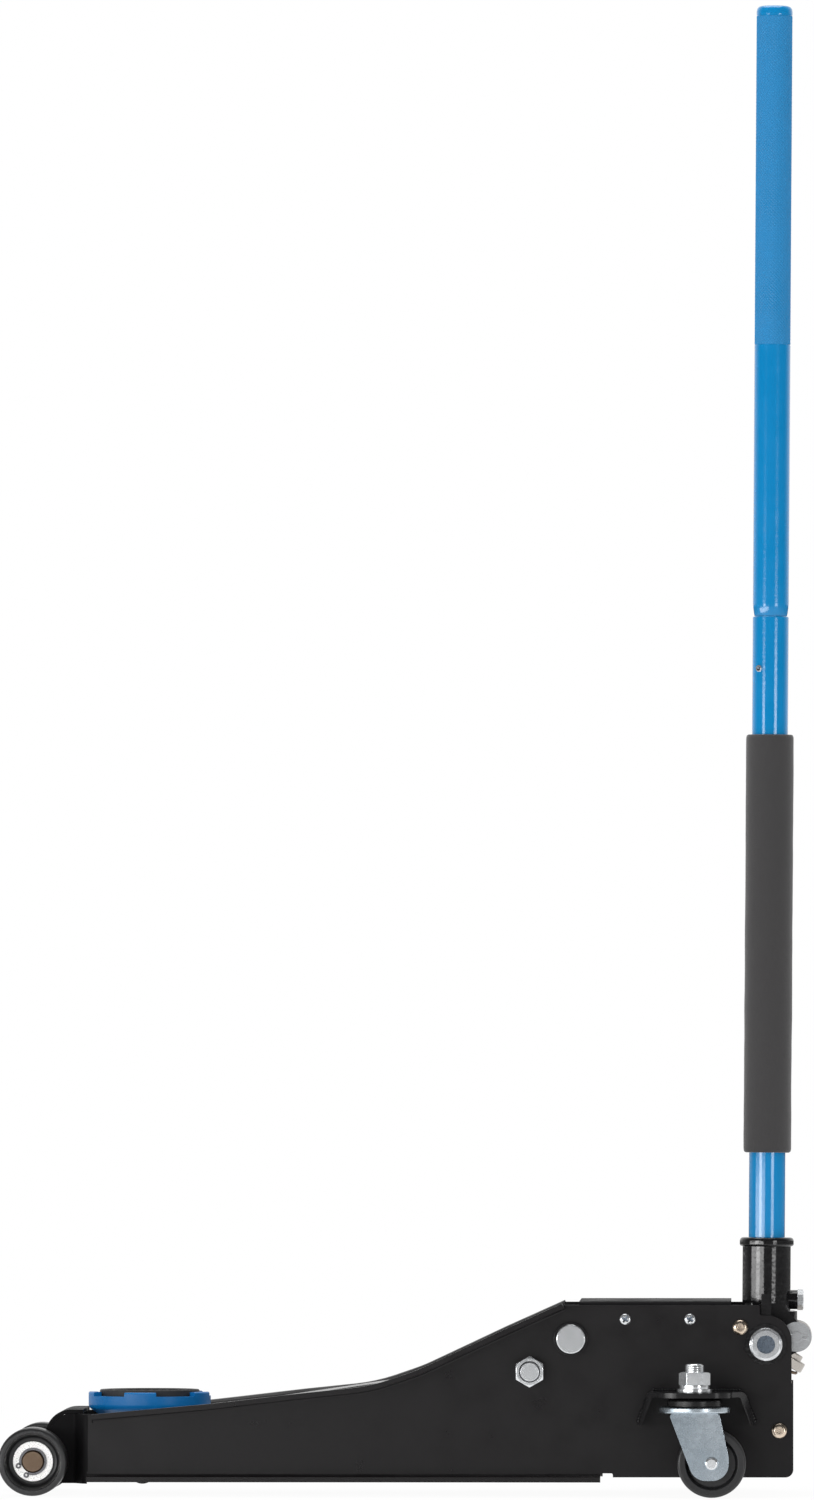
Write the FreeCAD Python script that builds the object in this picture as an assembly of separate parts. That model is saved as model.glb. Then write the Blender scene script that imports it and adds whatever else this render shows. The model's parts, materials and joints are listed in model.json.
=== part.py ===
import FreeCAD, Part
import math
import os

from FreeCAD import Vector

# Low-profile trolley jack, in millimetres.
# +Z is up, +X points to the handle end, +Y to the right of someone at the handle who faces the saddle.
# The origin is on the floor, midway between the front wheels' leading edge and the pump roller.

# Reference places: lift pivot, arm's front pivot, saddle, front axle, handle pivot and pump roller
LIFT_X = 145.6
LIFT_Z = 137.6
ARM_FRONT_X = -196.0
ARM_FRONT_Z = 50.0
SADDLE_REACH = 32.0
SADDLE_X = ARM_FRONT_X - SADDLE_REACH
AXLE_REACH = 99.1
FRONT_AXLE_X = SADDLE_X - AXLE_REACH
YOKE_X = 317.0
YOKE_Z = 133.0
ROLLER_REACH = 27.0
ROLLER_RISE = 6.0
ROLLER_X = YOKE_X + ROLLER_REACH
ROLLER_Z = YOKE_Z + ROLLER_RISE

# Chassis side plates
PLATE_T = 4.5
WEB_OUT_Y = 85.0
WEB_IN_Y = WEB_OUT_Y - PLATE_T
FLANGE_REACH = 12.0
NOSE_OUT_Y = 66.0
NOSE_LENGTH = 36.1
NOSE_BEND_LENGTH = 8.0
NOSE_BEND_FRONT_X = FRONT_AXLE_X + NOSE_LENGTH
NOSE_BEND_REAR_X = NOSE_BEND_FRONT_X + NOSE_BEND_LENGTH
PLATE_TOP_Z = 167.5
PLATE_TOP_FRONT_X = 132.8
PLATE_REAR_REACH = 24.0
PLATE_REAR_STEP = 1.5
PLATE_REAR_X = YOKE_X + PLATE_REAR_REACH
PLATE_REAR_UPPER_X = PLATE_REAR_X - PLATE_REAR_STEP
PLATE_REAR_STEP_Z = 98.0
PLATE_EAR_R = 25.3
PLATE_EAR_FRONT = 5.5
PLATE_EAR_CORNER_R = 22.0
PLATE_BOTTOM_Z = 12.0
PLATE_REAR_BOTTOM_Z = 16.2
PLATE_NOTCH_Z = 19.7
PLATE_NOTCH_FRONT_X = 171.5
PLATE_NOTCH_REAR_X = 182.5
NOSE_TOP_Z = 71.5
NOSE_BOTTOM_Z = 18.3
NOSE_R = 22.0
NOSE_EYE_TOP_Z = 48.0
NOSE_ARCH_FRONT = 13.6
NOSE_ARCH_R = 19.0
NOSE_CAP_T = 3.5
NOSE_CAP_GAP = 0.1
NOSE_CAP_SETBACK = 2.0
NOSE_PLATE_T = 4.0
NOSE_PLATE_BOTTOM_Z = 20.0
BEND_R = 5.0
FLANGE_END_X = 138.0
FLANGE_LEG = 9.0
FLANGE_BOTTOM_FRONT_X = NOSE_BEND_REAR_X + 3.0

# Front axle and wheels
WHEEL_R = 30.0
FRONT_WHEEL_W = 36.0
FRONT_WHEEL_IN_Y = 70.0
FRONT_AXLE_R = 10.0
FRONT_AXLE_END_Y = 94.0
FRONT_HUB_W = 16.0
FRONT_WASHER_R = 17.6
FRONT_WASHER_T = 2.5
CIRCLIP_R = 13.0
CIRCLIP_T = 1.4
FRONT_WASHER_Y = FRONT_WHEEL_IN_Y + FRONT_HUB_W + 0.3
CIRCLIP_Y = FRONT_WASHER_Y + FRONT_WASHER_T + 0.3

# Running fits and small gaps
RUN_FIT = 0.08
SEAT_GAP = 0.3

# Rear casters
CASTER_SETBACK = 62.4
CASTER_X = YOKE_X - CASTER_SETBACK
CASTER_Y = 134.0
CASTER_TRAIL = 14.9
CASTER_WHEEL_W = 24.0
CASTER_AXLE_R = 4.0
FORK_T = 3.0
FORK_GAP = 2.0
FORK_TOP_Z = 74.0
FORK_EYE_R = 15.0
FORK_HEAD_FRONT = 22.6
FORK_HEAD_REAR = 21.4
LOWER_RACE_R = 31.0
LOWER_RACE_TOP_Z = 79.5
UPPER_CUP_R = 24.0
STUD_R = 8.0
STUD_TOP_Z = 116.8
STUD_HEAD_Z = 66.5
STUD_HEAD_R = 11.0
BRACKET_T = 4.5
BRACKET_TOP_Z = 92.0
BRACKET_FRONT_REACH = 41.6
BRACKET_REAR_REACH = 44.4
BRACKET_FRONT_X = CASTER_X - BRACKET_FRONT_REACH
BRACKET_REAR_X = CASTER_X + BRACKET_REAR_REACH
BRACKET_LEG_Z = 62.5
BRACKET_LEG_FLARE = 9.0
BRACKET_OUT_Y = 166.0
NUT_16_AF = 24.0
NUT_16_H = 11.4
WASHER_16_R = 15.0
WASHER_16_T = 3.0
SPRING_WASHER_R = 13.0
SPRING_WASHER_T = 3.4

# Lift arm and its linkage
LIFT_SHAFT_R = 11.0
LIFT_DISC_R = 12.8
LIFT_COLLAR_R = 15.0
LINK_X = LIFT_X - 36.1
LINK_Z = LIFT_Z - 28.5
LINK_STUD_R = 8.0
LINK_STUD_END_Y = 99.0
ARM_HUB_R = 22.0
ARM_EYE_R = 13.5
ARM_WALL = 5.0
ARM_REAR_HALF_W = 48.0
ARM_FRONT_HALF_W = 38.0
ARM_PIN_R = 8.0
ARM_STEP_X = ARM_FRONT_X + 29.0
ARM_STEP_Z = ARM_FRONT_Z + 27.0
ARM_BEND_X = LIFT_X - 125.6
ARM_BEND_Z = LIFT_Z - 33.1
ARM_CROWN_X = LIFT_X - 9.3
ARM_CROWN_Z = LIFT_Z + 19.9
ARM_TAIL_X = LIFT_X + 16.0
ARM_BELLY_REAR = (LIFT_X - 49.6, LIFT_Z - 49.6)
ARM_BELLY_DROP = 46.5
ARM_TAPER_REAR_X = LIFT_X - 105.6
ARM_TAPER_FRONT_X = ARM_FRONT_X + 86.0
ARM_TIE_R = 7.0
ARM_TIE_Z = ARM_BEND_Z - 24.5
LINK_ROD_IN_Y = 52.0
LINK_ROD_T = 6.0
LINK_ROD_HALF_H = 8.0
LINK_EYE_R = 12.0
LINK_PIN_R = 6.0
LINK_FRONT_PLAY = 0.4
LIFT_RANGE = 60.0

# Lever on the arm and the ram that pushes it
RAM_DROP = 62.0
LEVER_ANGLE = LIFT_RANGE / 2
LEVER_IN_Y = 15.0
LEVER_T = 10.0
LEVER_HALF_W = 17.0
LEVER_LENGTH = 84.0
CROSSHEAD_PIN_R = 8.0
JAW_CLEARANCE = 1.15
RAM_REST_OFFSET = 0.85
RAM_R = 13.0
RAM_SETBACK = 53.0
RAM_END_X = ROLLER_X - RAM_SETBACK
RAM_NOSE = 14.0
RAM_Z = LIFT_Z - RAM_DROP
RAM_PIN_X = LIFT_X + RAM_DROP * math.tan(math.radians(LEVER_ANGLE)) - RAM_REST_OFFSET

# Hydraulic unit
GLAND_X = 204.0
RETURN_SPRING_Y = 60.0
RETURN_COIL_R = 7.0
RETURN_WIRE_R = 1.2
RETURN_TURNS = 18.75
RETURN_POST_GAP = 0.1
SPRING_POST_R = 4.0
SPRING_POST_RIM_R = 6.0
SPRING_POST_SETBACK = 54.0
SPRING_POST_X = ROLLER_X - SPRING_POST_SETBACK
GLAND_T = 7.0
GLAND_R = 24.0
RESERVOIR_R = 42.0
BLOCK_END_SETBACK = 26.0
BLOCK_LENGTH = 50.0
BLOCK_STEP = 21.0
BLOCK_END_X = ROLLER_X - BLOCK_END_SETBACK
BLOCK_STEP_X = BLOCK_END_X - BLOCK_STEP
RESERVOIR_END_X = BLOCK_END_X - BLOCK_LENGTH
BLOCK_HALF_W = 46.0
BLOCK_BOTTOM_Z = 30.0
BLOCK_TOP_Z = 112.0
PLUG_R = 7.0
PLUG_Y = 30.0

# Hand pump, on an axis that rises steeply towards the roller
PUMP_TILT = 60.0
PUMP_OFFSET = 3.4
PUMP_STROKE = 28.0
BARREL_R = 14.0
BARREL_LENGTH = 16.0
BARREL_SEAT = 2.0
PLUNGER_R = 7.0
PLUNGER_LENGTH = 66.0
PLUNGER_HEAD_R = 11.0
COLLAR_R = 16.0
COLLAR_T = 9.0
HEAD_T = 4.6
SPRING_R = 12.5
SPRING_WIRE_R = 1.4
SPRING_TURNS = 4

# Release valve
VALVE_R = 6.0
VALVE_SETBACK = 35.0
VALVE_X = YOKE_X - VALVE_SETBACK
VALVE_Y = 30.0
VALVE_BOTTOM_Z = 95.0
VALVE_TOP_Z = 126.0

# Handle yoke
CHEEK_IN_Y = 36.0
CHEEK_T = 6.0
CHEEK_TOP_Z = 168.4
YOKE_BOSS_R = 14.0
YOKE_LUG_HALF_L = 4.3
YOKE_LUG_T = 13.0
YOKE_LUG_TOP_Z = 177.0
PIVOT_BOLT_R = 7.0
PIVOT_HEAD_R = 14.5
PIVOT_AF = 25.0
PIVOT_HEAD_T = 7.0
PIVOT_DISH_R = 8.0
PIVOT_DISH_DEPTH = 1.2
PIVOT_RING_R = 18.2
PIVOT_RING_T = 1.5
ROLLER_R = 13.25
ROLLER_HALF_W = 14.0
ROLLER_PIN_R = 4.5
BRIDGE_BOTTOM_Z = 153.0
BRIDGE_T = 8.0

# Handle socket and handle
HANDLE_LEAN = 0.39
SOCKET_R = 21.25
SOCKET_FOOT_R = 19.5
SOCKET_BOTTOM_Z = 151.5
SOCKET_TOP_Z = 222.0
BEAD_R = 23.8
BEAD_H = 8.0
TUBE_R = 16.0
TUBE_WALL = 2.0
TUBE_BOTTOM_Z = 154.0
HANDLE_SPLIT_Z = 774.5
HANDLE_TOP_Z = 1315.0
SPIGOT_LENGTH = 90.0
NECK_H = 10.0
CAP_H = 6.0
FOAM_R = 21.0
FOAM_BOTTOM_Z = 301.0
FOAM_TOP_Z = 670.0
BUTTON_DROP = 46.1
BUTTON_Z = HANDLE_SPLIT_Z - BUTTON_DROP
BUTTON_R = 3.0
BUTTON_BEARING = 232.7
CLAMP_Z = 171.0
CLAMP_R = 5.0
CLAMP_AF = 16.0
CLAMP_HEAD_T = 5.3
CLAMP_BOSS_R = 8.5
CLAMP_BOSS_END = 27.5

# Saddle
SADDLE_R = 54.0
SADDLE_BOTTOM_Z = 66.5
SADDLE_RIM_Z = 89.5
SADDLE_FLOOR_Z = 78.0
SADDLE_RIM_T = 9.0
SADDLE_STEM_R = 11.0
SADDLE_STEM_Z = 46.0
SADDLE_NOTCHES = 5
SADDLE_FIRST_NOTCH = -61.0
SADDLE_NOTCH_HALF_W = 19.0
SADDLE_NOTCH_DEPTH = 3.7
PAD_CLEARANCE = 1.0
PAD_R = SADDLE_R - SADDLE_RIM_T - PAD_CLEARANCE
PAD_TOP_Z = 91.5
PAD_RIB_W = 6.0
PAD_RIB_H = 2.0
CARRIER_TOP_Z = 66.0
CARRIER_HALF_W = 26.0
CARRIER_BOSS_R = 21.0

# Cross members
CROSS_FRONT_X = GLAND_X - 8.0
CROSS_BOTTOM_Z = 18.0
CROSS_T = 4.0
MID_TUBE_X = 60.0
MID_TUBE_Z = 30.0
MID_TUBE_R = 12.0
MID_TUBE_WALL = 3.0

# Top cover
COVER_T = 3.0
COVER_FRONT_X = 153.0
COVER_REAR_SETBACK = 31.0
COVER_REAR_X = YOKE_X - COVER_REAR_SETBACK
COVER_TOP_Z = 170.8
COVER_LIP_H = 24.0
COVER_SCREW_X = (193.4, 250.3)
COVER_SCREW_Z = 155.0
SCREW_HEAD_R = 5.0
SCREW_HEAD_T = 2.6
SCREW_R = 2.5

# Tie tubes between the plates, held by button-head bolts
TIE_REACH = 11.7
TIE_Z = 57.2
TIE_PLACE = (YOKE_X + TIE_REACH, TIE_Z)
GUARD_BOLT_BACK = 22.5
GUARD_BOLT_RISE = 14.9
GUARD_BOLT_PLACE = (YOKE_X - GUARD_BOLT_BACK, YOKE_Z + GUARD_BOLT_RISE)
GUARD_NUT_AF = 13.0
GUARD_NUT_H = 6.5
TIE_R = 8.0
TIE_BOLT_R = 4.0
TIE_HEAD_R = 7.0
TIE_HEAD_T = 4.2
TIE_KEY_R = 2.4
TIE_KEY_DEPTH = 2.4
TIE_BOLT_IN = 8.0

# Lock washers, pins and caps
CAP_T = 3.0
HEX_FLANGE_T = 1.8

X_AXIS = Vector(1, 0, 0)
Y_AXIS = Vector(0, 1, 0)
Z_AXIS = Vector(0, 0, 1)


def rod(radius, start, end):
    """A round bar between two points."""
    axis = end - start
    return Part.makeCylinder(radius, axis.Length, start, axis)


def cross_rod(radius, x, z, y_from, y_to):
    """A round bar along Y."""
    return rod(radius, Vector(x, min(y_from, y_to), z), Vector(x, max(y_from, y_to), z))


def slab(x0, x1, y0, y1, z0, z1):
    """A rectangular block from its limits."""
    low = Vector(min(x0, x1), min(y0, y1), min(z0, z1))
    return Part.makeBox(abs(x1 - x0), abs(y1 - y0), abs(z1 - z0), low)


def join(*shapes):
    """One clean solid from shapes that meet."""
    whole = shapes[0].fuse(list(shapes[1:])) if len(shapes) > 1 else shapes[0]
    return whole.removeSplitter()


def corner_arc(before, corner, after, radius):
    """Tangent points and middle point of the arc that rounds a corner."""
    to_before = (before - corner).normalize()
    to_after = (after - corner).normalize()
    half = to_before.getAngle(to_after) / 2
    reach = radius / math.tan(half)
    bisector = (to_before + to_after).normalize()
    middle = corner + bisector * (radius / math.sin(half) - radius)
    return corner + to_before * reach, middle, corner + to_after * reach


def rounded_edges(points, place, closed=True):
    """Lines and tangent arcs through corner points (a, b) or (a, b, radius), put into space by place."""
    corners = [place(p[0], p[1]) for p in points]
    radii = [p[2] if len(p) > 2 else 0 for p in points]
    stops = []
    for i, corner in enumerate(corners):
        after = corners[(i + 1) % len(corners)]
        if radii[i]:
            stops.append(corner_arc(corners[i - 1], corner, after, radii[i]))
        else:
            stops.append((corner, None, corner))
    edges = []
    for i, (first, middle, last) in enumerate(stops):
        if middle is not None:
            edges.append(Part.Arc(first, middle, last).toShape())
        following = stops[(i + 1) % len(stops)][0]
        is_closing = i == len(stops) - 1
        if (following - last).Length > 1e-6 and (closed or not is_closing):
            edges.append(Part.LineSegment(last, following).toShape())
    return edges


def rounded_face(points, place):
    """A face with rounded corners."""
    return Part.Face(Part.Wire(rounded_edges(points, place)))


def side_prism(points, y_from, y_to):
    """A solid with an outline in the XZ plane, between two Y values."""
    low = min(y_from, y_to)
    face = rounded_face(points, lambda x, z: Vector(x, low, z))
    return face.extrude(Vector(0, abs(y_to - y_from), 0))


def plan_prism(points, z_from, z_to):
    """A solid with an outline in the XY plane, between two Z values."""
    face = rounded_face(points, lambda x, y: Vector(x, y, z_from))
    return face.extrude(Vector(0, 0, z_to - z_from))


def turned(points, centre, axis, radial):
    """A solid of revolution from (radius, height) points about an axis through centre."""
    face = rounded_face(points, lambda r, h: centre + radial * r + axis * h)
    return face.revolve(centre, axis, 360)


def hexagon(across_flats, height, centre, axis, radial):
    """A hexagonal prism; radial points at one corner."""
    corner_r = across_flats / math.sqrt(3)
    side = axis.cross(radial)
    corners = []
    for i in range(6):
        angle = math.radians(60 * i)
        corners.append(centre + radial * (corner_r * math.cos(angle)) + side * (corner_r * math.sin(angle)))
    wire = Part.makePolygon(corners + corners[:1])
    return Part.Face(wire).extrude(axis * height)


def mirrored(shape):
    """The same shape on the other side of the XZ plane."""
    return shape.mirror(Vector(0, 0, 0), Y_AXIS)


def group(shapes):
    """Separate solids that share one file."""
    return Part.makeCompound(shapes)


def both_sides(shape):
    return group([shape, mirrored(shape)])


def leaned(shape):
    """The handle parts tip back a little about their pivot."""
    copy = shape.copy()
    copy.rotate(Vector(YOKE_X, 0, YOKE_Z), Y_AXIS, HANDLE_LEAN)
    return copy


PLATE_TOP_LINE = [
    (-275.4, 71.3),
    (-174.3, 80.4),
    (-92.6, 89.9),
    (-30.0, 96.4, 160.0),
    (12.3, 110.9, 160.0),
    (88.2, 146.6),
    (FLANGE_END_X, 168.9),
]


def plate_outline():
    """Side view of a chassis plate, nose to rear."""
    arch_x = FRONT_AXLE_X + NOSE_ARCH_FRONT
    eye_corner_r = NOSE_R - 4
    eye_bottom_z = NOSE_BOTTOM_Z - 8
    ear_x = YOKE_X - PLATE_EAR_FRONT
    ear_z = YOKE_Z + PLATE_EAR_R
    rise = PLATE_TOP_LINE[:-1]
    return [
        (FRONT_AXLE_X - NOSE_R, eye_bottom_z, eye_corner_r),
        (FRONT_AXLE_X - NOSE_R, NOSE_EYE_TOP_Z, eye_corner_r),
        (arch_x, NOSE_EYE_TOP_Z, 1.0),
        (arch_x, NOSE_TOP_Z, NOSE_ARCH_R),
        *rise,
        (PLATE_TOP_FRONT_X, PLATE_TOP_Z, 30.0),
        (ear_x, PLATE_TOP_Z, 2.0),
        (ear_x, ear_z, 2.0),
        (PLATE_REAR_UPPER_X, ear_z, PLATE_EAR_CORNER_R),
        (PLATE_REAR_UPPER_X, PLATE_REAR_STEP_Z),
        (PLATE_REAR_X, PLATE_REAR_STEP_Z),
        (PLATE_REAR_X, PLATE_REAR_BOTTOM_Z, 7.0),
        (PLATE_NOTCH_REAR_X, PLATE_REAR_BOTTOM_Z),
        (PLATE_NOTCH_REAR_X, PLATE_NOTCH_Z, 1.5),
        (PLATE_NOTCH_FRONT_X, PLATE_NOTCH_Z, 1.5),
        (PLATE_NOTCH_FRONT_X, PLATE_BOTTOM_Z),
        (FLANGE_BOTTOM_FRONT_X, PLATE_BOTTOM_Z),
        (FLANGE_BOTTOM_FRONT_X, eye_bottom_z),
    ]


def plate_plan():
    """Plan view of the bent sheet: straight, with a joggle inward beside the front wheel."""
    nose_in_y = NOSE_OUT_Y - PLATE_T
    front = FRONT_AXLE_X - NOSE_R - 5
    rear = PLATE_REAR_X + 5
    return [
        (rear, WEB_OUT_Y),
        (NOSE_BEND_REAR_X, WEB_OUT_Y, 6.0),
        (NOSE_BEND_FRONT_X, NOSE_OUT_Y, 3.0),
        (front, NOSE_OUT_Y),
        (front, nose_in_y),
        (NOSE_BEND_FRONT_X + 3.4, nose_in_y, 6.0),
        (NOSE_BEND_REAR_X + 3.4, WEB_IN_Y, 3.0),
        (rear, WEB_IN_Y),
    ]


def flange_section(start, normal):
    """Cross-section of the rolled top edge: a short leg in the web, the bend and the flange."""
    outer_r = BEND_R + PLATE_T / 2
    inner_r = outer_r - PLATE_T
    reach = WEB_OUT_Y + FLANGE_REACH
    points = [
        (WEB_IN_Y, -FLANGE_LEG),
        (WEB_IN_Y, 0, outer_r),
        (reach, 0),
        (reach, -PLATE_T),
        (WEB_OUT_Y, -PLATE_T, inner_r),
        (WEB_OUT_Y, -FLANGE_LEG),
    ]
    return Part.Wire(rounded_edges(points, lambda y, n: start + Y_AXIS * y + normal * n))


def rolled_edge(line):
    """The flange swept along a line in the XZ plane."""
    path = Part.Wire(rounded_edges(line, lambda x, z: Vector(x, 0, z), closed=False))
    start = Vector(line[0][0], 0, line[0][1])
    along = Vector(line[1][0], 0, line[1][1]) - start
    normal = Vector(-along.z, 0, along.x).normalize()
    return path.makePipeShell([flange_section(start, normal)], True, False)


def side_plate():
    """Right-hand chassis plate: web, joggled nose and rolled-out flanges, with its holes."""
    sheet = plan_prism(plate_plan(), 0, PLATE_TOP_Z + 10)
    web = sheet.common(side_prism(plate_outline(), 0, WEB_OUT_Y + 5))
    band = [(p[0], p[1] + 20) + tuple(p[2:]) for p in PLATE_TOP_LINE]
    band += [(p[0], p[1] - FLANGE_LEG + 1) + tuple(p[2:]) for p in PLATE_TOP_LINE[::-1]]
    web = web.cut(side_prism(band, WEB_IN_Y - 5, WEB_OUT_Y + 5))
    bottom_line = [(PLATE_NOTCH_FRONT_X, PLATE_BOTTOM_Z), (FLANGE_BOTTOM_FRONT_X, PLATE_BOTTOM_Z)]
    foot = slab(FLANGE_BOTTOM_FRONT_X, PLATE_NOTCH_FRONT_X, WEB_IN_Y - 1, WEB_OUT_Y + 1, 0,
                PLATE_BOTTOM_Z + FLANGE_LEG - 1)
    web = web.cut(foot)
    ring = cross_rod(PIVOT_RING_R, YOKE_X, YOKE_Z, WEB_OUT_Y - 1, WEB_OUT_Y + PIVOT_RING_T)
    plate = join(web, rolled_edge(PLATE_TOP_LINE), rolled_edge(bottom_line), ring)
    outside = WEB_OUT_Y + 5
    holes = [
        cross_rod(FRONT_AXLE_R, FRONT_AXLE_X, WHEEL_R, 0, outside),
        cross_rod(LIFT_SHAFT_R, LIFT_X, LIFT_Z, 0, outside),
        cross_rod(LINK_STUD_R, LINK_X, LINK_Z, 0, outside),
        cross_rod(PIVOT_BOLT_R, YOKE_X, YOKE_Z, 0, outside),
    ]
    holes += [cross_rod(TIE_BOLT_R, x, z, 0, outside) for x, z in (TIE_PLACE, GUARD_BOLT_PLACE)]
    holes += [cross_rod(SCREW_R, x, COVER_SCREW_Z, 0, outside) for x in COVER_SCREW_X]
    return plate.cut(holes)


def front_cross_plate():
    """Rolled cap over both noses, welded to an upright plate between the joggled webs."""
    front = FRONT_AXLE_X + NOSE_ARCH_FRONT - NOSE_CAP_GAP
    rear = SADDLE_X - SADDLE_R - NOSE_CAP_SETBACK
    under = NOSE_TOP_Z + NOSE_CAP_GAP
    inner_r = NOSE_ARCH_R + NOSE_CAP_GAP
    cap = side_prism([
        (front - NOSE_CAP_T, NOSE_EYE_TOP_Z + 2),
        (front - NOSE_CAP_T, under + NOSE_CAP_T, inner_r + NOSE_CAP_T),
        (rear, under + NOSE_CAP_T),
        (rear, under),
        (front, under, inner_r),
        (front, NOSE_EYE_TOP_Z + 2),
    ], -NOSE_OUT_Y, NOSE_OUT_Y)
    half = NOSE_OUT_Y - PLATE_T
    web_x = NOSE_BEND_FRONT_X
    web = slab(web_x - NOSE_PLATE_T, web_x, -half, half, NOSE_PLATE_BOTTOM_Z, under + NOSE_CAP_T / 2)
    return join(cap, web)


def front_axle():
    """Plain bar through both noses, grooved near its ends for the circlips."""
    bar = cross_rod(FRONT_AXLE_R, FRONT_AXLE_X, WHEEL_R, -FRONT_AXLE_END_Y, FRONT_AXLE_END_Y)
    tool = cross_rod(FRONT_AXLE_R + 1, FRONT_AXLE_X, WHEEL_R, CIRCLIP_Y, CIRCLIP_Y + CIRCLIP_T)
    core = cross_rod(FRONT_AXLE_R - 1, FRONT_AXLE_X, WHEEL_R, CIRCLIP_Y - 1, CIRCLIP_Y + CIRCLIP_T + 1)
    groove = tool.cut(core)
    bar = bar.cut([groove, mirrored(groove)])
    ends = [edge for edge in bar.Edges if abs(abs(edge.BoundBox.YMin) - FRONT_AXLE_END_Y) < 0.01
            and edge.BoundBox.YLength < 0.01]
    return bar.makeChamfer(1.2, ends)


def front_axle_washers():
    ring = cross_rod(FRONT_WASHER_R, FRONT_AXLE_X, WHEEL_R, FRONT_WASHER_Y, FRONT_WASHER_Y + FRONT_WASHER_T)
    bore = cross_rod(FRONT_AXLE_R + RUN_FIT, FRONT_AXLE_X, WHEEL_R, 0, FRONT_AXLE_END_Y)
    return both_sides(ring.cut(bore))


def front_axle_circlips():
    """Open rings with two drilled ears, seated in the axle's grooves."""
    far = CIRCLIP_Y + CIRCLIP_T
    ring = cross_rod(CIRCLIP_R, FRONT_AXLE_X, WHEEL_R, CIRCLIP_Y, far)
    shaft = cross_rod(FRONT_AXLE_R - 1, FRONT_AXLE_X, WHEEL_R, 0, FRONT_AXLE_END_Y)
    holes = []
    ears = []
    for angle in (197.0, 244.0):
        reach = CIRCLIP_R + 0.5
        x = FRONT_AXLE_X + reach * math.cos(math.radians(angle))
        z = WHEEL_R + reach * math.sin(math.radians(angle))
        ears.append(cross_rod(3.2, x, z, CIRCLIP_Y, far))
        holes.append(cross_rod(1.1, x, z, 0, FRONT_AXLE_END_Y))
    gap_end = [(0, 0)] + [
        (30 * math.cos(math.radians(a)), 30 * math.sin(math.radians(a))) for a in (207.0, 234.0)
    ]
    gap = side_prism([(FRONT_AXLE_X + x, WHEEL_R + z) for x, z in gap_end], 0, FRONT_AXLE_END_Y)
    clip = join(ring, *ears).cut([shaft, gap] + holes)
    return both_sides(clip)


def front_wheel():
    """Deeply dished right-hand cast wheel."""
    inner = FRONT_WHEEL_IN_Y
    outer = FRONT_WHEEL_IN_Y + FRONT_WHEEL_W
    hub = FRONT_WHEEL_IN_Y + FRONT_HUB_W
    bore = FRONT_AXLE_R + RUN_FIT
    section = [
        (bore, inner),
        (17.0, inner),
        (19.0, inner + 4),
        (24.0, inner + 4),
        (26.0, inner),
        (WHEEL_R, inner, 2.0),
        (WHEEL_R, outer, 3.0),
        (24.5, outer, 1.5),
        (22.0, hub, 3.0),
        (bore, hub),
    ]
    centre = Vector(FRONT_AXLE_X, 0, WHEEL_R)
    return turned(section, centre, Y_AXIS, X_AXIS)


def rear_crossmember():
    """Folded channel across the bottom that carries the hydraulic block."""
    half = WEB_IN_Y
    foot_half = BLOCK_HALF_W - 6
    rear = BLOCK_END_X - 2
    pan = slab(CROSS_FRONT_X, rear, -half, half, CROSS_BOTTOM_Z, CROSS_BOTTOM_Z + CROSS_T)
    lip = slab(CROSS_FRONT_X, CROSS_FRONT_X + CROSS_T, -half, half, CROSS_BOTTOM_Z, BLOCK_BOTTOM_Z)
    foot = slab(RESERVOIR_END_X, rear, -foot_half, foot_half, CROSS_BOTTOM_Z, BLOCK_BOTTOM_Z)
    return join(pan, lip, foot)


def mid_crossmember():
    """Tube across the chassis under the lift arm."""
    tube = cross_rod(MID_TUBE_R, MID_TUBE_X, MID_TUBE_Z, -WEB_IN_Y, WEB_IN_Y)
    bore = cross_rod(MID_TUBE_R - MID_TUBE_WALL, MID_TUBE_X, MID_TUBE_Z, -WEB_IN_Y, WEB_IN_Y)
    return tube.cut(bore)


def top_cover():
    """Folded cover over the hydraulic unit, screwed to the plates through its lips."""
    half = WEB_IN_Y
    low = COVER_TOP_Z - COVER_LIP_H
    section = [
        (-half, low),
        (-half, COVER_TOP_Z, 5.0),
        (half, COVER_TOP_Z, 5.0),
        (half, low),
        (half - COVER_T, low),
        (half - COVER_T, COVER_TOP_Z - COVER_T, 2.0),
        (-half + COVER_T, COVER_TOP_Z - COVER_T, 2.0),
        (-half + COVER_T, low),
    ]
    face = rounded_face(section, lambda y, z: Vector(COVER_FRONT_X, y, z))
    cover = face.extrude(Vector(COVER_REAR_X - COVER_FRONT_X, 0, 0))
    holes = [cross_rod(SCREW_R, x, COVER_SCREW_Z, -half - 5, half + 5) for x in COVER_SCREW_X]
    hub_room = slab(COVER_FRONT_X - 1, LIFT_X + ARM_HUB_R, -half, half, low - 1, COVER_TOP_Z - 2 * COVER_T)
    return cover.cut(holes + [hub_room])


def pan_screw(x):
    """Pan-head screw through the right-hand plate into the cover lip."""
    shank_start = WEB_IN_Y - COVER_T - 4
    section = [
        (0, shank_start),
        (SCREW_R, shank_start),
        (SCREW_R, WEB_OUT_Y),
        (SCREW_HEAD_R, WEB_OUT_Y),
        (SCREW_HEAD_R, WEB_OUT_Y + SCREW_HEAD_T, 2.0),
        (0, WEB_OUT_Y + SCREW_HEAD_T + 0.4),
    ]
    return turned(section, Vector(x, 0, COVER_SCREW_Z), Y_AXIS, X_AXIS)


def cover_screws():
    heads = [pan_screw(x) for x in COVER_SCREW_X]
    return group(heads + [mirrored(head) for head in heads])


def tie_tube():
    """Spacer tube that holds the plates apart low at the rear."""
    x, z = TIE_PLACE
    tube = cross_rod(TIE_R, x, z, -WEB_IN_Y, WEB_IN_Y)
    return tube.cut(cross_rod(TIE_BOLT_R, x, z, -WEB_IN_Y, WEB_IN_Y))


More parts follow.
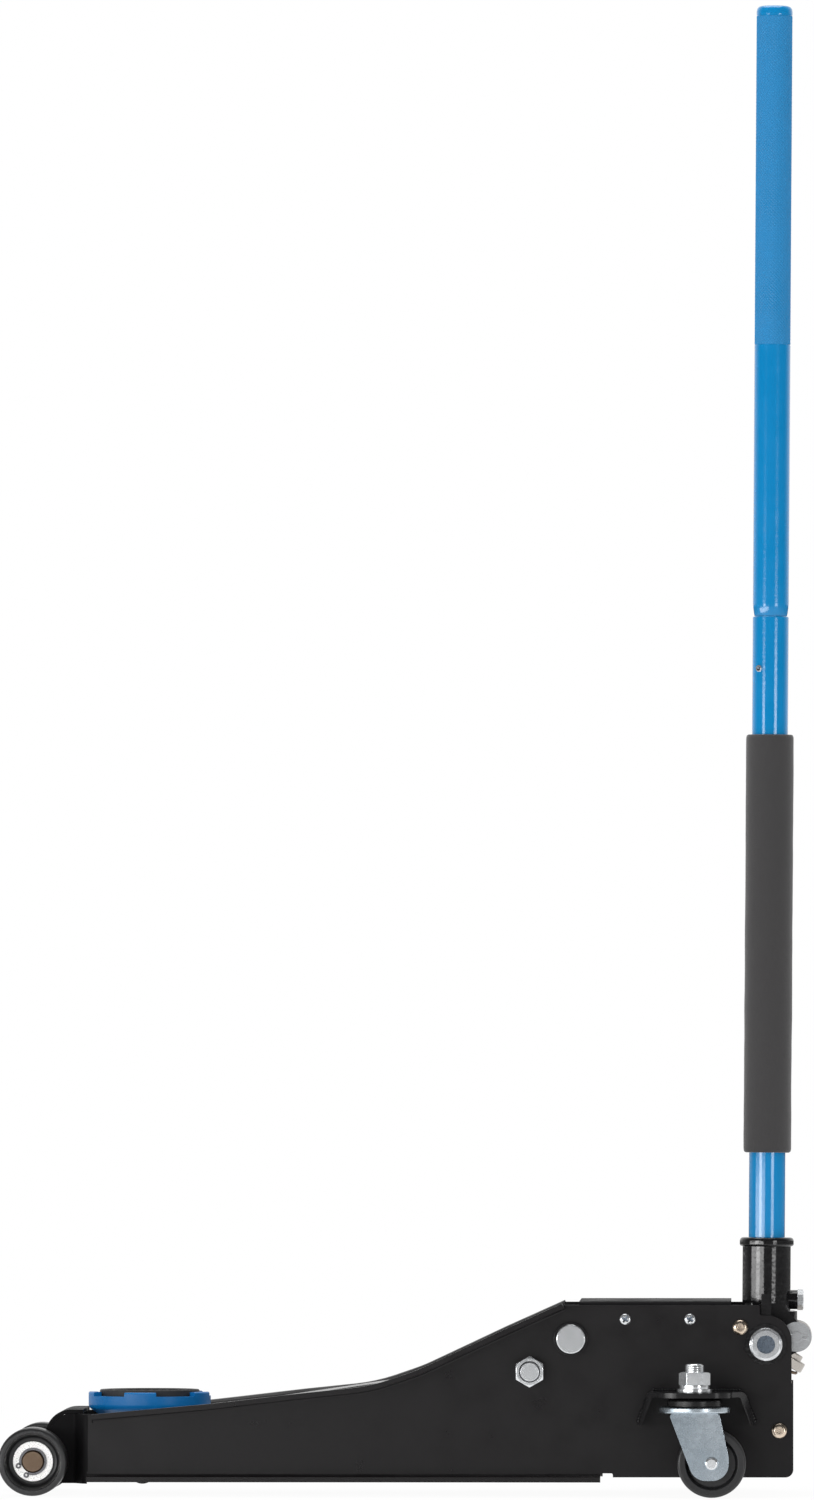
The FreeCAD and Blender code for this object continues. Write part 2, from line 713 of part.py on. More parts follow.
def guard_nuts():
    """Nuts inside the plates on the upper button-head bolts."""
    x, z = GUARD_BOLT_PLACE
    return both_sides(cross_nut(x, z, WEB_IN_Y - GUARD_NUT_H, GUARD_NUT_AF, GUARD_NUT_H, TIE_BOLT_R))


def frame_bolts():
    """Button-head bolts: the lower pair into the tie tube, the upper pair into nuts."""
    bolts = []
    crown = WEB_OUT_Y + TIE_HEAD_T
    key_end = crown - TIE_KEY_DEPTH
    for x, z in (TIE_PLACE, GUARD_BOLT_PLACE):
        section = [
            (0, WEB_IN_Y - TIE_BOLT_IN),
            (TIE_BOLT_R, WEB_IN_Y - TIE_BOLT_IN),
            (TIE_BOLT_R, WEB_OUT_Y),
            (TIE_HEAD_R, WEB_OUT_Y),
            (TIE_HEAD_R, crown, 3.4),
            (TIE_KEY_R, crown),
            (TIE_KEY_R, key_end),
            (0, key_end),
        ]
        bolt = turned(section, Vector(x, 0, z), Y_AXIS, X_AXIS)
        bolts += [bolt, mirrored(bolt)]
    return group(bolts)


def lift_pivot_shaft():
    return cross_rod(LIFT_SHAFT_R, LIFT_X, LIFT_Z, -WEB_OUT_Y - CAP_T, WEB_OUT_Y + CAP_T)


def lift_shaft_collars():
    """Welded rings round the shaft ends, outside the plates."""
    ring = cross_rod(LIFT_COLLAR_R, LIFT_X, LIFT_Z, WEB_OUT_Y, WEB_OUT_Y + CAP_T)
    return both_sides(ring.cut(cross_rod(LIFT_SHAFT_R, LIFT_X, LIFT_Z, WEB_IN_Y, WEB_OUT_Y + 9)))


def lift_shaft_caps():
    """Plated discs on the shaft ends."""
    section = [
        (0, WEB_OUT_Y + CAP_T),
        (LIFT_DISC_R, WEB_OUT_Y + CAP_T),
        (LIFT_DISC_R, WEB_OUT_Y + 2 * CAP_T, 1.0),
        (0, WEB_OUT_Y + 2 * CAP_T),
    ]
    return both_sides(turned(section, Vector(LIFT_X, 0, LIFT_Z), Y_AXIS, X_AXIS))


def link_pivot_studs():
    """Stud through each plate that the link rod turns on, with a head inside."""
    shank = cross_rod(LINK_STUD_R, LINK_X, LINK_Z, LINK_ROD_IN_Y + 0.2, LINK_STUD_END_Y)
    collar = cross_rod(LINK_STUD_R + 4, LINK_X, LINK_Z, LINK_ROD_IN_Y + LINK_ROD_T + SEAT_GAP, WEB_IN_Y)
    return both_sides(join(shank, collar))


def hex_body(centre, axis, radial, across_flats, height, chamfer=1.6):
    """Hexagonal nut or bolt head with its outer corners turned off."""
    block = hexagon(across_flats, height, centre, axis, radial)
    corner = across_flats / math.sqrt(3)
    crown = [
        (0, 0),
        (corner + 1, 0),
        (corner + 1, height - chamfer),
        (across_flats / 2 - 0.4, height),
        (0, height),
    ]
    return block.common(turned(crown, centre, axis, radial))


def cross_nut(x, z, y_from, across_flats, height, bore_r):
    """Nut on an axis along Y."""
    nut = hex_body(Vector(x, y_from, z), Y_AXIS, Z_AXIS, across_flats, height)
    return nut.cut(cross_rod(bore_r, x, z, y_from, y_from + height))


def link_pivot_nuts():
    return both_sides(cross_nut(LINK_X, LINK_Z, WEB_OUT_Y, NUT_16_AF, NUT_16_H, LINK_STUD_R))


def handle_pivot_bolts():
    """Hexagon bolts with a round washer face and a dished head, through the plates into the yoke."""
    tip = CHEEK_IN_Y + CHEEK_T + 6
    seat = WEB_OUT_Y + PIVOT_RING_T
    head_end = seat + PIVOT_HEAD_T
    centre = Vector(YOKE_X, 0, YOKE_Z)
    shank = cross_rod(PIVOT_BOLT_R, YOKE_X, YOKE_Z, tip, seat)
    flange = turned([
        (0, seat),
        (PIVOT_HEAD_R, seat),
        (PIVOT_HEAD_R, seat + HEX_FLANGE_T, 0.8),
        (0, seat + HEX_FLANGE_T + 0.5),
    ], centre, Y_AXIS, X_AXIS)
    head = hex_body(Vector(YOKE_X, seat, YOKE_Z), Y_AXIS, Z_AXIS, PIVOT_AF, PIVOT_HEAD_T)
    dish = cross_rod(PIVOT_DISH_R, YOKE_X, YOKE_Z, head_end - PIVOT_DISH_DEPTH, head_end + 1)
    return both_sides(join(shank, flange, head).cut(dish))


def caster_bracket():
    """Right-hand bracket: a shelf welded to the plate, with end walls that flare down and out."""
    flare = BRACKET_LEG_FLARE
    outline = [
        (BRACKET_FRONT_X - flare, BRACKET_LEG_Z),
        (BRACKET_FRONT_X, BRACKET_TOP_Z, 6.0),
        (BRACKET_REAR_X, BRACKET_TOP_Z, 6.0),
        (BRACKET_REAR_X + flare, BRACKET_LEG_Z),
        (BRACKET_REAR_X + flare - BRACKET_T, BRACKET_LEG_Z),
        (BRACKET_REAR_X - BRACKET_T, BRACKET_TOP_Z - BRACKET_T, 2.0),
        (BRACKET_FRONT_X + BRACKET_T, BRACKET_TOP_Z - BRACKET_T, 2.0),
        (BRACKET_FRONT_X - flare + BRACKET_T, BRACKET_LEG_Z),
    ]
    shelf = side_prism(outline, WEB_OUT_Y, BRACKET_OUT_Y)
    wide_front = BRACKET_FRONT_X - flare - 1
    wide_rear = BRACKET_REAR_X + flare + 1
    nose_r = BRACKET_OUT_Y - CASTER_Y
    plan = [
        (wide_front, WEB_OUT_Y),
        (wide_front, WEB_OUT_Y + 12),
        (CASTER_X - nose_r, CASTER_Y + 2, 12.0),
        (CASTER_X - nose_r, BRACKET_OUT_Y, 18.0),
        (CASTER_X + nose_r, BRACKET_OUT_Y, 18.0),
        (CASTER_X + nose_r, CASTER_Y + 2, 12.0),
        (wide_rear, WEB_OUT_Y + 12),
        (wide_rear, WEB_OUT_Y),
    ]
    bracket = shelf.common(plan_prism(plan, BRACKET_LEG_Z - 1, BRACKET_TOP_Z + 1))
    hole = Part.makeCylinder(STUD_R, BRACKET_TOP_Z, Vector(CASTER_X, CASTER_Y, BRACKET_LEG_Z))
    return bracket.cut(hole)


def caster_stud():
    """Stud with its upper race cup, clamped to the right-hand bracket."""
    under = BRACKET_TOP_Z - BRACKET_T
    cup_low = LOWER_RACE_TOP_Z + SEAT_GAP
    section = [
        (0, STUD_HEAD_Z),
        (STUD_HEAD_R, STUD_HEAD_Z, 1.0),
        (STUD_HEAD_R, FORK_TOP_Z - FORK_T - SEAT_GAP),
        (STUD_R, FORK_TOP_Z - FORK_T - SEAT_GAP),
        (STUD_R, cup_low),
        (UPPER_CUP_R, cup_low),
        (UPPER_CUP_R, under - 2, 2.0),
        (UPPER_CUP_R - 6, under),
        (STUD_R, under),
        (STUD_R, STUD_TOP_Z - 1),
        (STUD_R - 1, STUD_TOP_Z),
        (0, STUD_TOP_Z),
    ]
    return turned(section, Vector(CASTER_X, CASTER_Y, 0), Z_AXIS, X_AXIS)


def caster_washer():
    """Flat washer with a spring washer on it, under the caster nut."""
    def ring(radius, low, height):
        outer = Part.makeCylinder(radius, height, Vector(CASTER_X, CASTER_Y, low))
        return outer.cut(Part.makeCylinder(STUD_R, height, Vector(CASTER_X, CASTER_Y, low)))
    spring_low = BRACKET_TOP_Z + WASHER_16_T
    return [ring(WASHER_16_R, BRACKET_TOP_Z, WASHER_16_T), ring(SPRING_WASHER_R, spring_low, SPRING_WASHER_T)]


def caster_washers():
    pair = caster_washer()
    return group(pair + [mirrored(washer) for washer in pair])


def caster_nuts():
    low = BRACKET_TOP_Z + WASHER_16_T + SPRING_WASHER_T
    centre = Vector(CASTER_X, CASTER_Y, low)
    nut = hex_body(centre, Z_AXIS, X_AXIS, NUT_16_AF, NUT_16_H)
    return both_sides(nut.cut(Part.makeCylinder(STUD_R, NUT_16_H, centre)))


def caster_studs():
    return both_sides(caster_stud())


def caster_fork():
    """Right-hand fork: lower race, top plate and two tapering legs with the wheel between them."""
    axle_x = CASTER_X + CASTER_TRAIL
    in_y = CASTER_WHEEL_W / 2 + FORK_GAP
    out_y = in_y + FORK_T
    leg = side_prism([
        (CASTER_X - FORK_HEAD_FRONT, FORK_TOP_Z, 3.0),
        (CASTER_X + FORK_HEAD_REAR, FORK_TOP_Z, 3.0),
        (axle_x + FORK_EYE_R, WHEEL_R + 6, 10.0),
        (axle_x + FORK_EYE_R, WHEEL_R - FORK_EYE_R, FORK_EYE_R - 0.5),
        (axle_x - FORK_EYE_R, WHEEL_R - FORK_EYE_R, FORK_EYE_R - 0.5),
    ], CASTER_Y - out_y, CASTER_Y + out_y)
    reach = CASTER_TRAIL + FORK_EYE_R + 5
    slot = slab(CASTER_X - reach, CASTER_X + reach, CASTER_Y - in_y, CASTER_Y + in_y, 0, FORK_TOP_Z - FORK_T)
    race_h = LOWER_RACE_TOP_Z - FORK_TOP_Z
    race = Part.makeCylinder(LOWER_RACE_R, race_h, Vector(CASTER_X, CASTER_Y, FORK_TOP_Z))
    hole = Part.makeCylinder(STUD_R + RUN_FIT, BRACKET_TOP_Z, Vector(CASTER_X, CASTER_Y, FORK_TOP_Z - FORK_T))
    axle_hole = cross_rod(CASTER_AXLE_R, axle_x, WHEEL_R, CASTER_Y - out_y - 1, CASTER_Y + out_y + 1)
    fork = join(leg.cut(slot), race).cut([hole, axle_hole])
    rims = [edge for edge in fork.Edges if abs(edge.Length - 2 * math.pi * LOWER_RACE_R) < 0.1]
    return fork.makeFillet(1.5, rims)


def caster_axle():
    """Headed axle riveted through the fork legs."""
    axle_x = CASTER_X + CASTER_TRAIL
    face = CASTER_WHEEL_W / 2 + FORK_GAP + FORK_T
    section = [
        (0, -face - 2.6),
        (5.0, -face - 2.6, 1.6),
        (6.0, -face),
        (CASTER_AXLE_R, -face),
        (CASTER_AXLE_R, face),
        (6.0, face),
        (5.0, face + 2.6, 1.6),
        (0, face + 2.6),
    ]
    return turned(section, Vector(axle_x, CASTER_Y, WHEEL_R), Y_AXIS, X_AXIS)


def caster_wheel():
    """Right-hand caster wheel: one cast disc with a raised hub and rim."""
    axle_x = CASTER_X + CASTER_TRAIL
    half = CASTER_WHEEL_W / 2
    bore = CASTER_AXLE_R + RUN_FIT
    upper = [
        (bore, half + FORK_GAP - SEAT_GAP),
        (9.0, half + FORK_GAP - SEAT_GAP),
        (10.0, half - 5.0, 1.0),
        (21.0, half - 5.0, 1.5),
        (23.0, half, 1.0),
        (WHEEL_R, half, 2.5),
    ]
    lower = [(p[0], -p[1]) + tuple(p[2:]) for p in upper[::-1]]
    return turned(upper + lower, Vector(axle_x, CASTER_Y, WHEEL_R), Y_AXIS, X_AXIS)


def arm_outline():
    """Side view of the lift arm's walls."""
    return [
        (ARM_STEP_X, ARM_STEP_Z),
        (ARM_BEND_X, ARM_BEND_Z, 60.0),
        (ARM_CROWN_X, ARM_CROWN_Z, 12.0),
        (ARM_TAIL_X, LIFT_Z + 12.4),
        (ARM_TAIL_X, LIFT_Z - 15.6, 10.0),
        (*ARM_BELLY_REAR, 30.0),
        (ARM_BEND_X, ARM_BEND_Z - ARM_BELLY_DROP, 60.0),
        (ARM_FRONT_X + 26, ARM_FRONT_Z - 12, 20.0),
        (ARM_FRONT_X, ARM_FRONT_Z - ARM_EYE_R),
        (ARM_FRONT_X, ARM_FRONT_Z + ARM_EYE_R),
        (ARM_STEP_X - 6, ARM_FRONT_Z + ARM_EYE_R, 4.0),
    ]


def arm_plan(inset):
    """Plan view of the arm, narrowing towards the saddle; inset gives the hollow inside."""
    rear = ARM_REAR_HALF_W - inset
    front = ARM_FRONT_HALF_W - inset
    return [
        (LIFT_X + 40, rear),
        (ARM_TAPER_REAR_X, rear, 60.0),
        (ARM_TAPER_FRONT_X, front, 60.0),
        (ARM_FRONT_X - 30, front),
        (ARM_FRONT_X - 30, -front),
        (ARM_TAPER_FRONT_X, -front, 60.0),
        (ARM_TAPER_REAR_X, -rear, 60.0),
        (LIFT_X + 40, -rear),
    ]


def arm_hollow():
    """The room inside the arm, open below, under a wall of even thickness."""
    reach = ARM_REAR_HALF_W + 5
    step_z = ARM_STEP_Z - ARM_WALL
    crown_z = ARM_CROWN_Z - ARM_WALL - 1
    outline = side_prism([
        (ARM_FRONT_X - 40, 0),
        (ARM_FRONT_X - 40, step_z),
        (ARM_STEP_X, step_z),
        (ARM_BEND_X, ARM_BEND_Z - ARM_WALL, 60.0),
        (ARM_CROWN_X, crown_z, 10.0),
        (LIFT_X + 30, crown_z),
        (LIFT_X + 30, 0),
    ], -reach, reach)
    return outline.common(plan_prism(arm_plan(ARM_WALL), -5, ARM_CROWN_Z))


def lift_arm():
    """Welded channel with a bent top, a pivot tube, front eyes and two jawed levers."""
    reach = ARM_REAR_HALF_W + 5
    body = side_prism(arm_outline(), -reach, reach).common(plan_prism(arm_plan(0), 0, ARM_CROWN_Z + 5))
    front_eye = cross_rod(ARM_EYE_R, ARM_FRONT_X, ARM_FRONT_Z, -ARM_FRONT_HALF_W, ARM_FRONT_HALF_W)
    body = body.fuse(front_eye).cut(arm_hollow())
    boss_half = WEB_IN_Y - 0.5
    boss = cross_rod(ARM_HUB_R, LIFT_X, LIFT_Z, -ARM_REAR_HALF_W - 4, ARM_REAR_HALF_W + 4)
    tube = cross_rod(LIFT_SHAFT_R + 6, LIFT_X, LIFT_Z, -boss_half, boss_half)
    lever = lever_plate()
    tie = cross_rod(ARM_TIE_R, ARM_TAPER_REAR_X, ARM_TIE_Z, -ARM_REAR_HALF_W, ARM_REAR_HALF_W)
    arm = join(body, boss, tube, lever, mirrored(lever), tie)
    shaft = cross_rod(LIFT_SHAFT_R + RUN_FIT, LIFT_X, LIFT_Z, -WEB_IN_Y, WEB_IN_Y)
    pin = cross_rod(ARM_PIN_R, ARM_FRONT_X, ARM_FRONT_Z, -ARM_REAR_HALF_W, ARM_REAR_HALF_W)
    return arm.cut([shaft, pin])


def lever_plate():
    """Right-hand lever below the pivot tube; its open jaw hooks over the ram's pin."""
    slot_half = CROSSHEAD_PIN_R + JAW_CLEARANCE
    root = RAM_DROP - CROSSHEAD_PIN_R - 2
    lever = side_prism([
        (LIFT_X - LEVER_HALF_W - 2, LIFT_Z),
        (LIFT_X - LEVER_HALF_W, LIFT_Z - LEVER_LENGTH, 5.0),
        (LIFT_X - slot_half, LIFT_Z - LEVER_LENGTH, 2.0),
        (LIFT_X - slot_half, LIFT_Z - root, slot_half - 0.2),
        (LIFT_X + slot_half, LIFT_Z - root, slot_half - 0.2),
        (LIFT_X + slot_half, LIFT_Z - LEVER_LENGTH, 2.0),
        (LIFT_X + LEVER_HALF_W, LIFT_Z - LEVER_LENGTH, 5.0),
        (LIFT_X + LEVER_HALF_W + 2, LIFT_Z),
    ], LEVER_IN_Y, LEVER_IN_Y + LEVER_T)
    lever.rotate(Vector(LIFT_X, 0, LIFT_Z), Y_AXIS, -LEVER_ANGLE)
    return lever


def arm_front_pin():
    half = ARM_FRONT_HALF_W + 3
    pin = cross_rod(ARM_PIN_R, ARM_FRONT_X, ARM_FRONT_Z, -half, half)
    head = cross_rod(ARM_PIN_R + 3, ARM_FRONT_X, ARM_FRONT_Z, ARM_FRONT_HALF_W, half)
    return join(pin, head, mirrored(head))


def link_front_place():
    """The link rod's front pivot: the same offset from the arm's front pivot as at the rear."""
    return ARM_FRONT_X + LINK_X - LIFT_X, ARM_FRONT_Z + LINK_Z - LIFT_Z


def link_rod():
    """Right-hand flat link with an eye at each end."""
    front_x, front_z = link_front_place()
    far = LINK_ROD_IN_Y + LINK_ROD_T
    span = Vector(LINK_X - front_x, 0, LINK_Z - front_z)
    tilt = math.degrees(math.atan2(span.z, span.x))
    bar = slab(front_x, front_x + span.Length, LINK_ROD_IN_Y, far, front_z - LINK_ROD_HALF_H,
               front_z + LINK_ROD_HALF_H)
    bar.rotate(Vector(front_x, 0, front_z), Y_AXIS, -tilt)
    front_eye = cross_rod(LINK_EYE_R, front_x, front_z, LINK_ROD_IN_Y, far)
    rear_eye = cross_rod(LINK_EYE_R + 2, LINK_X, LINK_Z, LINK_ROD_IN_Y, far)
    front_hole = cross_rod(LINK_PIN_R + LINK_FRONT_PLAY, front_x, front_z, 0, far + 5)
    rear_hole = cross_rod(LINK_STUD_R + RUN_FIT, LINK_X, LINK_Z, 0, far + 5)
    return join(bar, front_eye, rear_eye).cut([front_hole, rear_hole])


def saddle_carrier():
    """Casting that keeps level on two pivots and holds the saddle's stem."""
    link_x, link_z = link_front_place()
    half = CARRIER_HALF_W
    arm_eye = ARM_EYE_R - 1
    link_eye = LINK_EYE_R - 0.5
    body = side_prism([
        (SADDLE_X - CARRIER_BOSS_R, CARRIER_TOP_Z, 4.0),
        (SADDLE_X + CARRIER_BOSS_R, CARRIER_TOP_Z, 4.0),
        (ARM_FRONT_X + arm_eye, ARM_FRONT_Z + arm_eye, arm_eye - 0.5),
        (ARM_FRONT_X + arm_eye, ARM_FRONT_Z - arm_eye, arm_eye - 0.5),
        (link_x + LINK_EYE_R + 2, link_z - link_eye, link_eye - 0.5),
        (link_x - LINK_EYE_R, link_z - link_eye, link_eye - 0.5),
        (SADDLE_X - CARRIER_BOSS_R, SADDLE_STEM_Z - 2, 10.0),
    ], -half, half)
    stem = Part.makeCylinder(SADDLE_STEM_R + RUN_FIT, 40, Vector(SADDLE_X, 0, SADDLE_STEM_Z - SEAT_GAP))
    rear_pin = cross_rod(ARM_PIN_R + RUN_FIT, ARM_FRONT_X, ARM_FRONT_Z, -half - 1, half + 1)
    front_pin = cross_rod(LINK_PIN_R, link_x, link_z, -half - 1, half + 1)
    return body.cut([stem, rear_pin, front_pin])


def carrier_pin():
    """Long pin through the carrier that the link rods hook on."""
    link_x, link_z = link_front_place()
    end = LINK_ROD_IN_Y + LINK_ROD_T + 1
    pin = cross_rod(LINK_PIN_R, link_x, link_z, -end, end)
    head = cross_rod(LINK_PIN_R + 3, link_x, link_z, end - 0.5, end + 1.6)
    sleeve = cross_rod(LINK_PIN_R + 3, link_x, link_z, CARRIER_HALF_W, LINK_ROD_IN_Y - 0.5)
    return join(pin, head, mirrored(head), sleeve, mirrored(sleeve))


def saddle():
    """Cast cup with a castellated rim and a stem below."""
    section = [
        (0, SADDLE_STEM_Z),
        (SADDLE_STEM_R, SADDLE_STEM_Z, 1.5),
        (SADDLE_STEM_R, SADDLE_BOTTOM_Z),
        (SADDLE_R - 14, SADDLE_BOTTOM_Z, 6.0),
        (SADDLE_R, SADDLE_BOTTOM_Z + 9, 6.0),
        (SADDLE_R, SADDLE_RIM_Z, 1.5),
        (SADDLE_R - SADDLE_RIM_T, SADDLE_RIM_Z, 1.5),
        (SADDLE_R - SADDLE_RIM_T, SADDLE_FLOOR_Z),
        (0, SADDLE_FLOOR_Z),
    ]
    cup = turned(section, Vector(SADDLE_X, 0, 0), Z_AXIS, X_AXIS)
    notches = []
    for i in range(SADDLE_NOTCHES):
        notch = slab(SADDLE_X, SADDLE_X + SADDLE_R + 5, -SADDLE_NOTCH_HALF_W, SADDLE_NOTCH_HALF_W,
                     SADDLE_RIM_Z - SADDLE_NOTCH_DEPTH, SADDLE_RIM_Z + 5)
        notch.rotate(Vector(SADDLE_X, 0, 0), Z_AXIS, SADDLE_FIRST_NOTCH + i * 360 / SADDLE_NOTCHES)
        notches.append(notch)
    return cup.cut(notches)


def saddle_pad():
    """Rubber disc bedded in the cup, ribbed on top."""
    low = PAD_TOP_Z - PAD_RIB_H
    base = Part.makeCylinder(PAD_R, low - SADDLE_FLOOR_Z, Vector(SADDLE_X, 0, SADDLE_FLOOR_Z))
    centre = Vector(SADDLE_X, 0, low)
    ribs = [Part.makeCylinder(PAD_R - 4 * PAD_RIB_W, PAD_RIB_H, centre)]
    for outer in (PAD_R, PAD_R - 2 * PAD_RIB_W):
        ring = Part.makeCylinder(outer, PAD_RIB_H, centre)
        ribs.append(ring.cut(Part.makeCylinder(outer - PAD_RIB_W, PAD_RIB_H, centre)))
    return join(base, *ribs)


def ram():
    """Ram with a cross hole near its front end for the pin."""
    tip = RAM_PIN_X - RAM_NOSE
    section = [(0, tip), (RAM_R - 2, tip), (RAM_R, tip + 2), (RAM_R, RAM_END_X), (0, RAM_END_X)]
    bar = turned(section, Vector(0, 0, RAM_Z), X_AXIS, Z_AXIS)
    cheek = LEVER_IN_Y - 3
    flat = slab(tip - 1, RAM_PIN_X + RAM_NOSE, cheek, cheek + RAM_R, RAM_Z - RAM_R, RAM_Z + RAM_R)
    return bar.cut([flat, mirrored(flat), cross_rod(CROSSHEAD_PIN_R, RAM_PIN_X, RAM_Z, -RAM_R, RAM_R)])


def crosshead_pin():
    """Pin through the ram that the arm's jaws push on, with grooved ends for the return springs."""
    half = RETURN_SPRING_Y + 3
    pin = cross_rod(CROSSHEAD_PIN_R, RAM_PIN_X, RAM_Z, -half, half)
    neck = cross_rod(CROSSHEAD_PIN_R + 1, RAM_PIN_X, RAM_Z, RETURN_SPRING_Y - 2, RETURN_SPRING_Y + 2)
    neck = neck.cut(cross_rod(CROSSHEAD_PIN_R - 2, RAM_PIN_X, RAM_Z, 0, half + 5))
    return pin.cut([neck, mirrored(neck)])


def reservoir_tube():
    """Oil tank round the ram."""
    tank = rod(RESERVOIR_R, Vector(GLAND_X + GLAND_T, 0, RAM_Z), Vector(RESERVOIR_END_X, 0, RAM_Z))
    edges = [edge for edge in tank.Edges if edge.BoundBox.XMax < GLAND_X + GLAND_T + 0.01]
    tank = tank.makeFillet(4.0, edges)
    return tank.cut(ram_bore())


def ram_bore():
    front = Vector(GLAND_X - 5, 0, RAM_Z)
    return rod(RAM_R + RUN_FIT, front, Vector(RAM_END_X + 1.5, 0, RAM_Z))


def ram_gland():
    """Gland nut that closes the front of the ram cylinder."""
    body = rod(GLAND_R, Vector(GLAND_X, 0, RAM_Z), Vector(GLAND_X + GLAND_T, 0, RAM_Z))
    slots = [
        slab(GLAND_X - 1, GLAND_X + 3, -3, 3, RAM_Z + 19, RAM_Z + 30),
        slab(GLAND_X - 1, GLAND_X + 3, -3, 3, RAM_Z - 30, RAM_Z - 19),
        slab(GLAND_X - 1, GLAND_X + 3, 19, 30, RAM_Z - 3, RAM_Z + 3),
        slab(GLAND_X - 1, GLAND_X + 3, -30, -19, RAM_Z - 3, RAM_Z + 3),
    ]
    return body.cut([ram_bore()] + slots)


def pump_axis():
    tilt = math.radians(PUMP_TILT)
    return Vector(math.cos(tilt), 0, math.sin(tilt))


def pump_across():
    """Square to the pump's axis, down and to the rear."""
    axis = pump_axis()
    return Vector(axis.z, 0, -axis.x)


def pump_point(depth):
    """A point on the pump's axis, this far below the plunger head's top at rest."""
    roller = Vector(ROLLER_X, 0, ROLLER_Z)
    return roller + pump_across() * PUMP_OFFSET - pump_axis() * (ROLLER_R + SEAT_GAP + depth)


def barrel_top():
    """Depth of the barrel's top face: the collar's travel and the closed spring fit above it."""
    closed_spring = 2 * SPRING_WIRE_R * (SPRING_TURNS + 1)
    return HEAD_T + COLLAR_T + PUMP_STROKE + closed_spring


def hydraulic_block():
    """Cast block with valve plugs; bored for the ram, the pump and the release valve."""
    seat = pump_point(barrel_top() + BARREL_LENGTH - BARREL_SEAT)
    across = pump_across()
    slope = across.z / across.x
    block = side_prism([
        (RESERVOIR_END_X, BLOCK_BOTTOM_Z),
        (RESERVOIR_END_X, BLOCK_TOP_Z, 4.0),
        (BLOCK_STEP_X, BLOCK_TOP_Z, 6.0),
        (BLOCK_STEP_X, seat.z + (BLOCK_STEP_X - seat.x) * slope),
        (BLOCK_END_X, seat.z + (BLOCK_END_X - seat.x) * slope),
        (BLOCK_END_X, BLOCK_BOTTOM_Z),
    ], -BLOCK_HALF_W, BLOCK_HALF_W)
    plug_z = BLOCK_BOTTOM_Z + 12
    plugs = []
    for y in (-PLUG_Y, PLUG_Y):
        plugs.append(rod(PLUG_R, Vector(BLOCK_END_X - 30, y, plug_z), Vector(BLOCK_END_X + 4, y, plug_z)))
    barrel_seat = rod(BARREL_R, pump_point(barrel_top() + BARREL_LENGTH), pump_point(0))
    bore = rod(PLUNGER_R + RUN_FIT, pump_point(PLUNGER_LENGTH + PUMP_STROKE + 1), pump_point(0))
    valve = Part.makeCylinder(VALVE_R + RUN_FIT, 60, Vector(VALVE_X, VALVE_Y, VALVE_BOTTOM_Z))
    return join(block, *plugs).cut([ram_bore(), barrel_seat, bore, valve])


def pump_cylinder():
    """Pump barrel screwed into the block, bored for the plunger."""
    top = barrel_top()
    section = [
        (PLUNGER_R + RUN_FIT, -top - BARREL_LENGTH),
        (BARREL_R, -top - BARREL_LENGTH),
        (BARREL_R, -top - 1.5),
        (BARREL_R - 1.5, -top),
        (PLUNGER_R + RUN_FIT, -top),
    ]
    return turned(section, pump_point(0), pump_axis(), pump_across())


def pump_plunger():
    """Plunger with a flat head, and the collar that the spring pushes up."""
    section = [
        (0, -PLUNGER_LENGTH),
        (PLUNGER_R, -PLUNGER_LENGTH),
        (PLUNGER_R, -HEAD_T - COLLAR_T),
        (COLLAR_R, -HEAD_T - COLLAR_T, 1.5),
        (COLLAR_R, -HEAD_T, 1.5),
        (PLUNGER_HEAD_R, -HEAD_T),
        (PLUNGER_HEAD_R, 0, 1.0),
        (0, 0),
    ]
    return turned(section, pump_point(0), pump_axis(), pump_across())


def coil(coil_r, wire_r, pitch, length):
    """Round wire wound about Z, from the origin up."""
    centre_r = coil_r - wire_r
    helix = Part.makeHelix(pitch, length, centre_r)
    wire = Part.Wire(Part.makeCircle(wire_r, Vector(centre_r, 0, 0), Y_AXIS))
    return Part.Wire(helix).makePipeShell([wire], True, True)


def plunger_spring():
    """Compression spring between the barrel and the plunger's collar."""
    lift = SPRING_WIRE_R + 0.1
    low = barrel_top() - lift
    length = low - (HEAD_T + COLLAR_T + lift)
    spring = coil(SPRING_R, SPRING_WIRE_R, length / SPRING_TURNS, length)
    spring.rotate(Vector(0, 0, 0), Y_AXIS, 90 - PUMP_TILT)
    spring.translate(pump_point(low))
    return spring


def return_spring():
    """Right-hand extension spring from the ram's pin back to a post on the block."""
    front = RAM_PIN_X + CROSSHEAD_PIN_R
    rear = SPRING_POST_X - SPRING_POST_R - RETURN_WIRE_R - RETURN_POST_GAP
    length = rear - front
    spring = coil(RETURN_COIL_R, RETURN_WIRE_R, length / RETURN_TURNS, length)
    spring.rotate(Vector(0, 0, 0), Y_AXIS, 90)
    spring.translate(Vector(front, RETURN_SPRING_Y, RAM_Z))
    return spring


def spring_posts():
    """Posts on the block's sides that hold the return springs' rear ends."""
    post = cross_rod(SPRING_POST_R, SPRING_POST_X, RAM_Z, BLOCK_HALF_W, RETURN_SPRING_Y + 3)
    rim = cross_rod(SPRING_POST_RIM_R, SPRING_POST_X, RAM_Z, RETURN_SPRING_Y + 3, RETURN_SPRING_Y + 5)
    return both_sides(join(post, rim))


